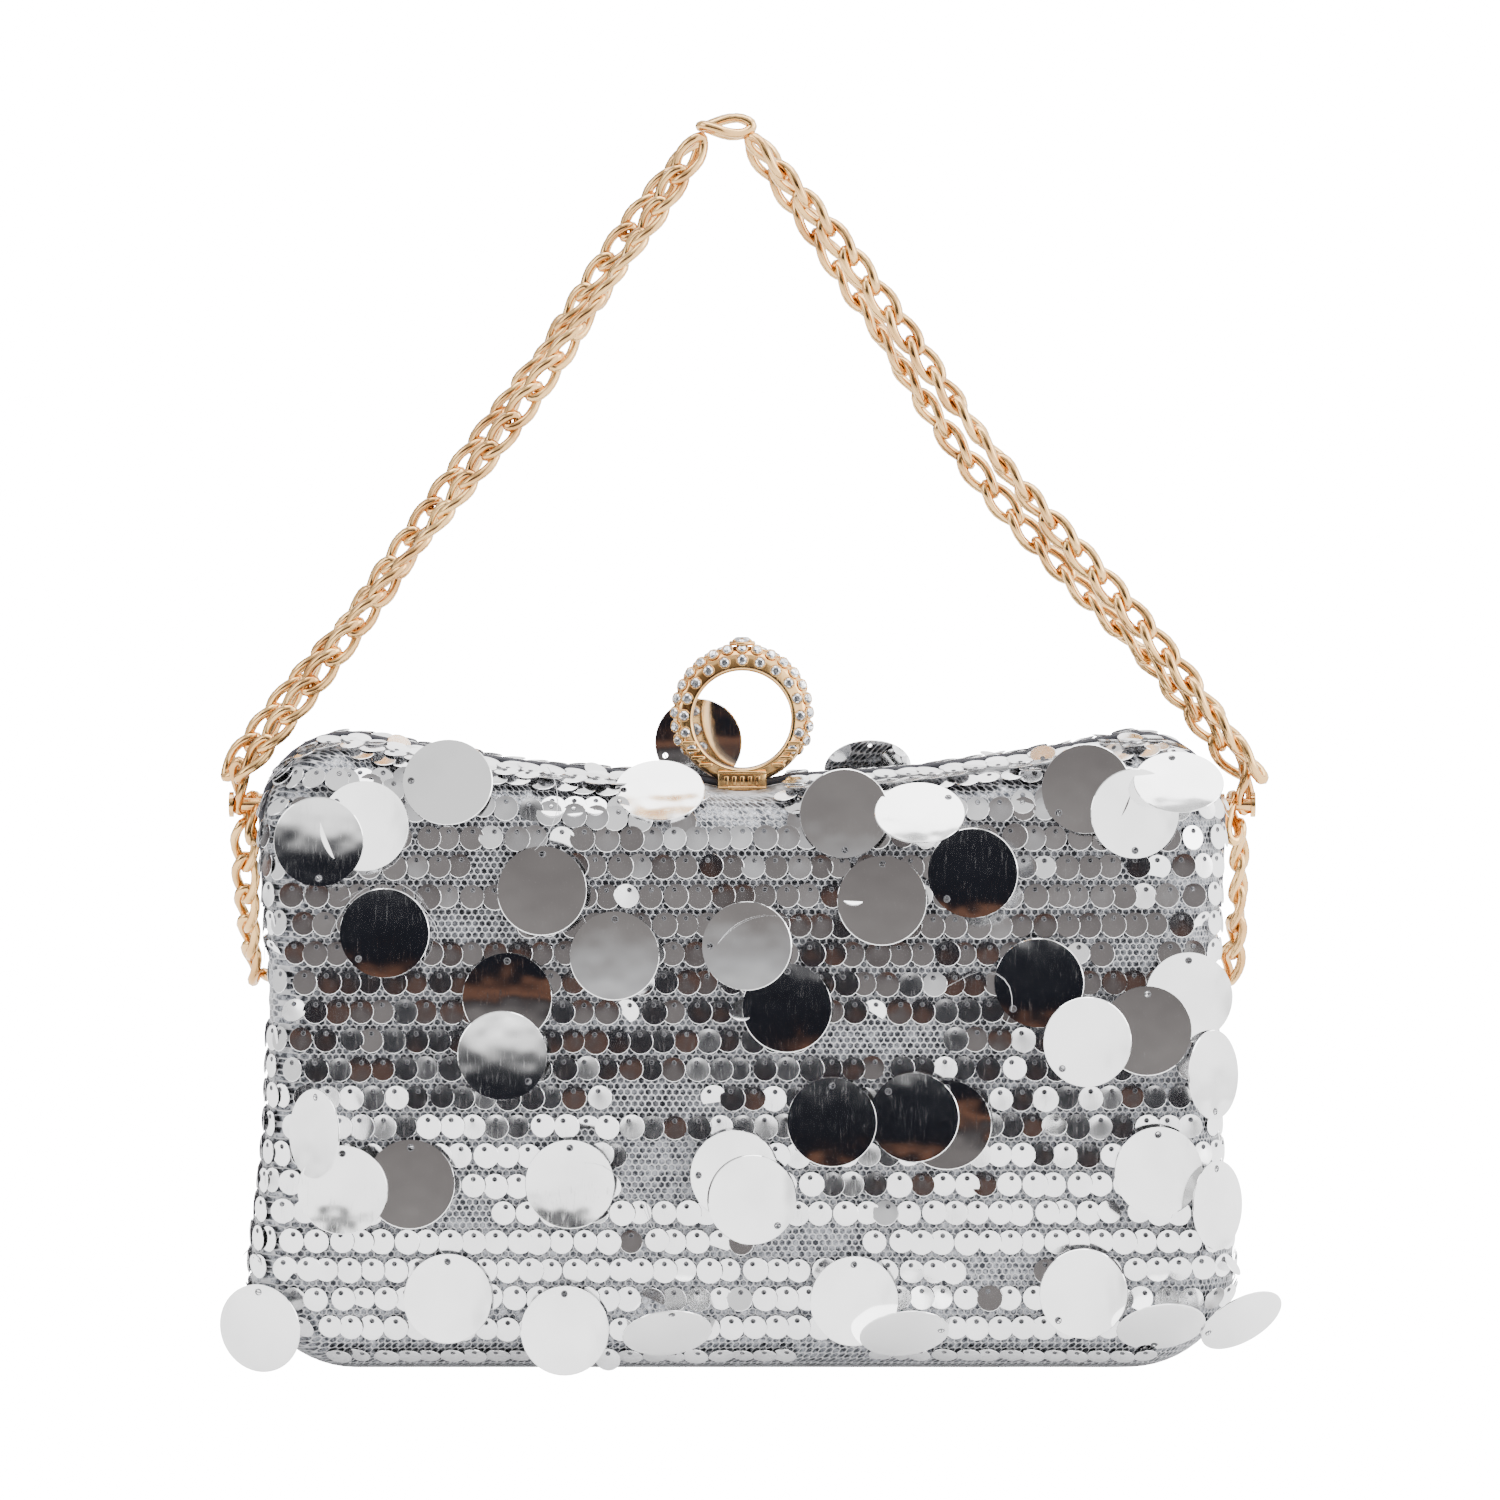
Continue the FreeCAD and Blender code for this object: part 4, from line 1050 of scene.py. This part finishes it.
def footParts():
    # the foot under the ring: a block with a framed panel, ribbed cheeks, lug and lip
    blocks = [((-5, -3.6, 116.6), (5, 4, 120.4), 0.5)]
    for k in range(5):
        x = -3.2 + 1.6 * k
        blocks.append(((x - 0.45, -4.0, 117.5), (x + 0.45, -3.4, 119.4), 0.2))
    for z in (116.75, 119.9):
        blocks.append(((-4.9, -4.1, z - 0.15), (4.9, -3.4, z + 0.5), 0.2))
    for side in (-1, 1):
        for k in range(4):
            z = 121.6 + 1.5 * k
            x = side * math.sqrt(11.8 ** 2 - (z - ring["centre"].z / mm) ** 2)
            blocks.append(((x - 1.4, -3.9, z - 0.4), (x + 1.4, -3.2, z + 0.4), 0.25))
    blocks += [((-3, 1.4, 111.7), (3, 2.3, 117), 0.2), ((-3, 4.1, 111.7), (3, 5.0, 116.6), 0.2)]  # lugs
    blocks.append(((-3, -4.0, 114.15), (3, -2.6, 117.4), 0.2))  # lip
    return [roundedBlock(*block) for block in blocks]


def stonePrototype():
    # a brilliant: eight-sided table, crown and girdle, facing Z, one across
    verts = [around(turn, radius, z) for radius, z, shift in ((0.28, 0.24, 0), (0.42, 0.14, 0.5), (0.5, 0.0, 0))
             for turn in turns(8, shift)]
    verts.append(Vector((0, 0, -0.25)))
    faces = [list(range(8))]
    for k in range(8):
        k2 = (k + 1) % 8
        faces += [[k, 8 + k, k2], [k2, 8 + k, 8 + k2], [8 + k, 16 + k, 16 + k2],
                  [8 + (k - 1) % 8, 16 + k, 8 + k], [16 + k, 24, 16 + k2]]
    return outward(meshPiece("stoneShape", verts, faces, smooth=False))


def bezelPrototype():
    # a rolled bezel with four small beads, one across
    verts = []
    for turn in turns(16):
        for roll in turns(5):
            verts.append(around(turn, 0.53 + 0.07 * math.cos(roll), -0.03 + 0.1 * math.sin(roll)))
    faces = gridFaces(16, 5, True, True)
    for turn in turns(4, 0.5):
        middle, start = around(turn, 0.49, 0.08), len(verts)
        corners = (1, 0, 0), (0, 1, 0), (-1, 0, 0), (0, -1, 0), (0, 0, 1), (0, 0, -1)
        verts += [middle + Vector(corner) * 0.1 for corner in corners]
        for a, b in ((0, 1), (1, 2), (2, 3), (3, 0)):
            faces += [[start + a, start + b, start + 4], [start + b, start + a, start + 5]]
    return outward(meshPiece("bezelShape", verts, faces))


# each face row: radius, how far out, lean, count, stone size, where it starts in degrees
stoneRows = ((11.85, 3.3, 0.0, 15, 2.2, -30), (13.75, 2.25, 0.95, 19, 2.1, -24))


def stonePlaces():
    # where the ring's stones sit: (point, facing, size)
    places = []
    for side in (-1, 1):
        for radius, y, lean, count, size, least in stoneRows:
            offset = 0.5 if lean else 0.0
            for k in range(count):
                turn = math.radians(least + (k + offset) * (180 - 2 * least) / (count - 1 + 2 * offset))
                facing = Vector((lean * math.cos(turn), side, lean * math.sin(turn))).normalized()
                lift = ring["rise"] * max(0, math.sin(turn)) * (0.45 if lean == 0 else 0.95)
                places.append((ringPlace(turn, radius * mm + lift, side * y * mm), facing, size * mm))
    for k in range(22):
        turn = math.radians(-28 + k * 236 / 21)
        if abs(math.degrees(turn) - 90) < 12:
            continue
        facing = Vector((math.cos(turn), 0, math.sin(turn)))
        places.append((ringPlace(turn, ringOuter(turn), 0), facing, ring["rimStone"]))
    return places


casting = outward(joinParts("claspRingCasting", [ringCasting()] + footParts()))
dress(casting, roseGold, "clasp", "rose_gold", "clasp_ring", "clasp_foot")
stone, bezel = stonePrototype(), bezelPrototype()
settings = [(p, turnTo(d, up if abs(d.z) < 0.9 else back), s) for p, d, s in stonePlaces()]
topAt = ringPlace(math.pi / 2, ringOuter(math.pi / 2) + ring["topLift"], 0)
topSetting = [(topAt, turnTo(up, back), ring["topStone"])]
stones = scattered("claspCrystals", settings, stone, crystal)
dress(stones, crystal, "clasp", "crystal", "ring_face_crystals", "ring_rim_crystals")
topStone = scattered("claspTopCrystal", topSetting, stone, crystal)
dress(topStone, crystal, "clasp", "crystal", "ring_top_crystal")
bezels = scattered("claspBezels", settings + topSetting, bezel, roseGold)
dress(bezels, roseGold, "clasp", "rose_gold")
dropShapes(stone, bezel)
print("clasp set")


# gussets, tape and pocket
def thickened(piece, thickness):
    modifier = piece.modifiers.new("thickness", "SOLIDIFY")
    modifier.thickness, modifier.offset = thickness, 0
    graph = bpy.context.evaluated_depsgraph_get()
    piece.data = bpy.data.meshes.new_from_object(piece.evaluated_get(graph), depsgraph=graph)
    piece.modifiers.clear()
    return outward(piece)


gussetPlan = {
    "low": 21, "high": 104, "reach": 15.2, "wall": 90.6, "hinge": 3.7, "opening": math.radians(50),
    "pleats": 3, "rows": 24, "perLeg": 4,
}


def pleatedGusset(side):
    # a pleated fan between the two linings, with cloth enough at each height for the full opening
    g = gussetPlan
    legs = 2 * g["pleats"]
    columns, verts = legs * g["perLeg"] + 1, []
    for r in range(g["rows"]):
        z = g["low"] + (g["high"] - g["low"]) * r / (g["rows"] - 1)
        high, turn = z - g["hinge"], g["opening"]
        run = g["reach"] * (1 + math.cos(turn)) + high * math.sin(turn)
        drop = high * (1 - math.cos(turn)) + g["reach"] * math.sin(turn)
        leg = math.hypot(run, drop) / legs
        depth = math.sqrt(leg ** 2 - (2 * g["reach"] / legs) ** 2)
        for c in range(columns):
            fold = 1 - abs(2 * ((c / (legs * g["perLeg"]) * g["pleats"]) % 1) - 1)
            y = g["reach"] * (2 * c / (columns - 1) - 1)
            verts.append(Vector((side * (g["wall"] - depth * fold), y, z)) * mm)
    name = "gussetCloth.left" if side < 0 else "gussetCloth.right"
    return thickened(meshPiece(name, verts, gridFaces(g["rows"], columns)), 0.3 * mm)


def joinHalves(piece, nodeName):
    # cloth between both halves: given the lining finish, its transform baked in, and left unattached to either
    # half
    refinish(piece, lining)
    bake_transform(piece)
    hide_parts(nodeName)


for side, nodeName in ((-1, "gusset_left"), (1, "gusset_right")):
    gusset = pleatedGusset(side)
    joinHalves(gusset, nodeName)

slipPocket = {"halfWidth": 50, "low": 28, "high": 84, "wall": 20.2, "stand": 4.6, "columns": 41, "rows": 25}


def pocketCloth():
    # a cloth slip pocket, sewn to the back lining on three sides and open at its top
    pocket, verts = slipPocket, []
    for r in range(pocket["rows"]):
        rise = r / (pocket["rows"] - 1)
        for c in range(pocket["columns"]):
            across = 2 * c / (pocket["columns"] - 1) - 1
            edge = min(1.0, (1 - abs(across)) / 0.12) * min(1.0, rise / 0.12)
            swell = math.sin(edge * math.pi / 2) * (1 + 0.05 * math.sin(across * 9 + rise * 4))
            y = pocket["wall"] - pocket["stand"] * min(swell, 1.05)
            z = pocket["low"] + (pocket["high"] - pocket["low"]) * rise
            verts.append(Vector((across * pocket["halfWidth"], y, z)) * mm)
    return meshPiece("pocketCloth", verts, gridFaces(pocket["rows"], pocket["columns"]))


pocket = thickened(pocketCloth(), 0.35 * mm)
dress(pocket, lining, "back", "lining_cloth", "lining_pocket")

# the hinge tape: a strip folded double under the hinge
tapeFold = ((-2.4, 0.6), (2.4, 0.6), (2.4, 0.2), (-2.4, 0.2))
tapeVerts = [Vector((-78 + 156 * k / 52, y, z)) * mm for y, z in tapeFold for k in range(53)]
tape = thickened(meshPiece("hingeTapeCloth", tapeVerts, gridFaces(4, 53)), 0.3 * mm)
joinHalves(tape, "hinge_tape")

# the dark edging of the opening, a cord along the top of the front half
edging = {"radius": 0.8 * mm, "out": 1.1 * mm, "y": -0.95 * mm, "from": 0.092, "sides": 6}


def topEdging():
    outline = [(x, z) for x, z in bagOutline(-edging["out"], 3 * mm) if z > edging["from"]]
    verts = []
    for k, (x, z) in enumerate(outline):
        x0, z0 = outline[max(k - 1, 0)]
        x1, z1 = outline[min(k + 1, len(outline) - 1)]
        out = Vector((z1 - z0, 0, x0 - x1)).normalized()
        for turn in turns(edging["sides"]):
            outwards = out * math.cos(turn) + back * math.sin(turn) * 0.6
            verts.append(Vector((x, edging["y"], z)) + outwards * edging["radius"])
    last = (len(outline) - 1) * edging["sides"]
    ends = [list(range(edging["sides"])), [last + j for j in range(edging["sides"])]]
    faces = gridFaces(len(outline), edging["sides"], wrapColumns=True) + ends
    return outward(meshPiece("topEdging", verts, faces))


dress(topEdging(), shellPlastic, "front", "shell_plastic")

plainFinishes = (
    (shellPlastic, ("front_shell", "back_shell")),
    (hingeBrass, ("hinge_leaf_front", "hinge_leaf_back", "clasp_seat", "clasp_striker")),
    (zinc, ("hinge_pin", "clasp_pin", "clasp_spring", "clasp_seat_screws", "striker_screws",
            "hinge_rivets_front", "hinge_rivets_back")),
    (roseGold, ("strap_stud_left", "strap_stud_right")),
)
for material, nodeNames in plainFinishes:
    for nodeName in nodeNames:
        refinish(nodes[nodeName], material)
print("inside pieces ready")


# floor, light and camera
floorPlan = {"side": 3.0, "front": -0.32, "behind": 4.0, "seenGlow": 16.5, "glow": 0.35}
side, near, far = floorPlan["side"], floorPlan["front"], floorPlan["behind"]
corners = (-side, near, 0), (side, near, 0), (side, far, 0), (-side, far, 0)
floor = meshPiece("studioFloor", corners, [[0, 1, 2, 3]])
floorMaterial, floorTree, floorShader = newMaterial("studioFloor", Roughness=0.6)
seenFloor = floorTree.nodes.new("ShaderNodeLightPath")
seen = seenFloor.outputs["Is Camera Ray"]
floorGlow = spread(floorTree, seen, 0.0, 1.0, floorPlan["glow"], floorPlan["seenGlow"])
shadeWith(floorTree, floorShader, Base_Color=(0.93, 0.93, 0.93, 1), Emission_Color=(1, 1, 1, 1),
          Emission_Strength=floorGlow)
floor.data.materials.append(floorMaterial)


def aimed(thing, place, aim):
    thing.location = place
    thing.rotation_euler = (aim - place).to_track_quat("-Z", "Y").to_euler()


def softbox(name, place, width, height, power):
    data = bpy.data.lights.new(name, "AREA")
    data.shape, data.size, data.size_y, data.energy = "RECTANGLE", width, height, power
    aimed(placed(name, data), Vector(place), Vector((0, 0, 0.1)))


softbox("topLight", (0, -0.2, 1.5), 1.4, 1.0, 22)
softbox("leftLight", (-1.4, -0.6, 0.8), 0.7, 1.1, 9)
softbox("rightLight", (1.4, -0.5, 0.7), 0.8, 1.2, 14)
softbox("backLight", (0, 1.4, 1.0), 1.6, 1.0, 12)


def studioWorld():
    # a white studio with a darker working side in front, which only reflections see
    world = bpy.data.worlds.new("studio")
    bpy.context.scene.world = world
    world.use_nodes = True
    tree = world.node_tree
    tree.nodes.clear()
    way = tree.nodes.new("ShaderNodeTexCoord").outputs["Generated"]
    parts = treeNode(tree, "ShaderNodeSeparateXYZ", {0: way})
    ramp = tree.nodes.new("ShaderNodeValToRGB")
    tree.links.new(maths(tree, "MULTIPLY_ADD", parts.outputs["Z"], 0.5, 0.5), ramp.inputs[0])
    # how far up a ray points, and the studio's colour there
    bands = (
        (-1.0, (1.5, 1.5, 1.5)), (-0.22, (1.5, 1.5, 1.5)), (-0.165, (0.16, 0.16, 0.165)),
        (-0.135, (0.013, 0.014, 0.019)), (0.01, (0.007, 0.008, 0.012)), (0.03, (0.19, 0.09, 0.055)),
        (0.05, (0.014, 0.015, 0.019)), (0.10, (0.15, 0.138, 0.136)), (0.32, (0.22, 0.204, 0.20)),
        (0.42, (0.45, 0.45, 0.46)), (0.55, (0.95, 0.95, 0.95)),
    )
    while len(ramp.color_ramp.elements) < len(bands):
        ramp.color_ramp.elements.new(0.5)
    for element, (rise, colour) in zip(ramp.color_ramp.elements, bands):
        element.position, element.color = rise / 2 + 0.5, (*colour, 1)
    forward = spread(tree, maths(tree, "ABSOLUTE", parts.outputs["Y"]), 0.5, 0.7)
    front = maths(tree, "MULTIPLY", forward, spread(tree, parts.outputs["X"], 0.30, 0.20))
    right = spread(tree, parts.outputs["X"], 0.2, 0.32)
    sides = mixColours(tree, right, (0.85, 0.85, 0.85, 1), (2.3, 2.3, 2.3, 1))
    room = mixColours(tree, front, sides, ramp.outputs[0])
    light = tree.nodes.new("ShaderNodeLightPath")
    seen = mixColours(tree, light.outputs["Is Camera Ray"], room, (12.5, 12.5, 12.5, 1))
    background = treeNode(tree, "ShaderNodeBackground", {"Color": seen, "Strength": 1.35})
    ending = tree.nodes.new("ShaderNodeOutputWorld")
    tree.links.new(background.outputs[0], ending.inputs[0])


studioWorld()
camera = bpy.data.cameras.new("camera")
cameraPiece = placed("camera", camera)
aimed(cameraPiece, stage["eye"], stage["target"])
camera.sensor_width = 36
camera.lens = camera.sensor_width * (stage["target"] - stage["eye"]).length / stage["view"]
bpy.context.scene.camera = cameraPiece
print("studio ready")
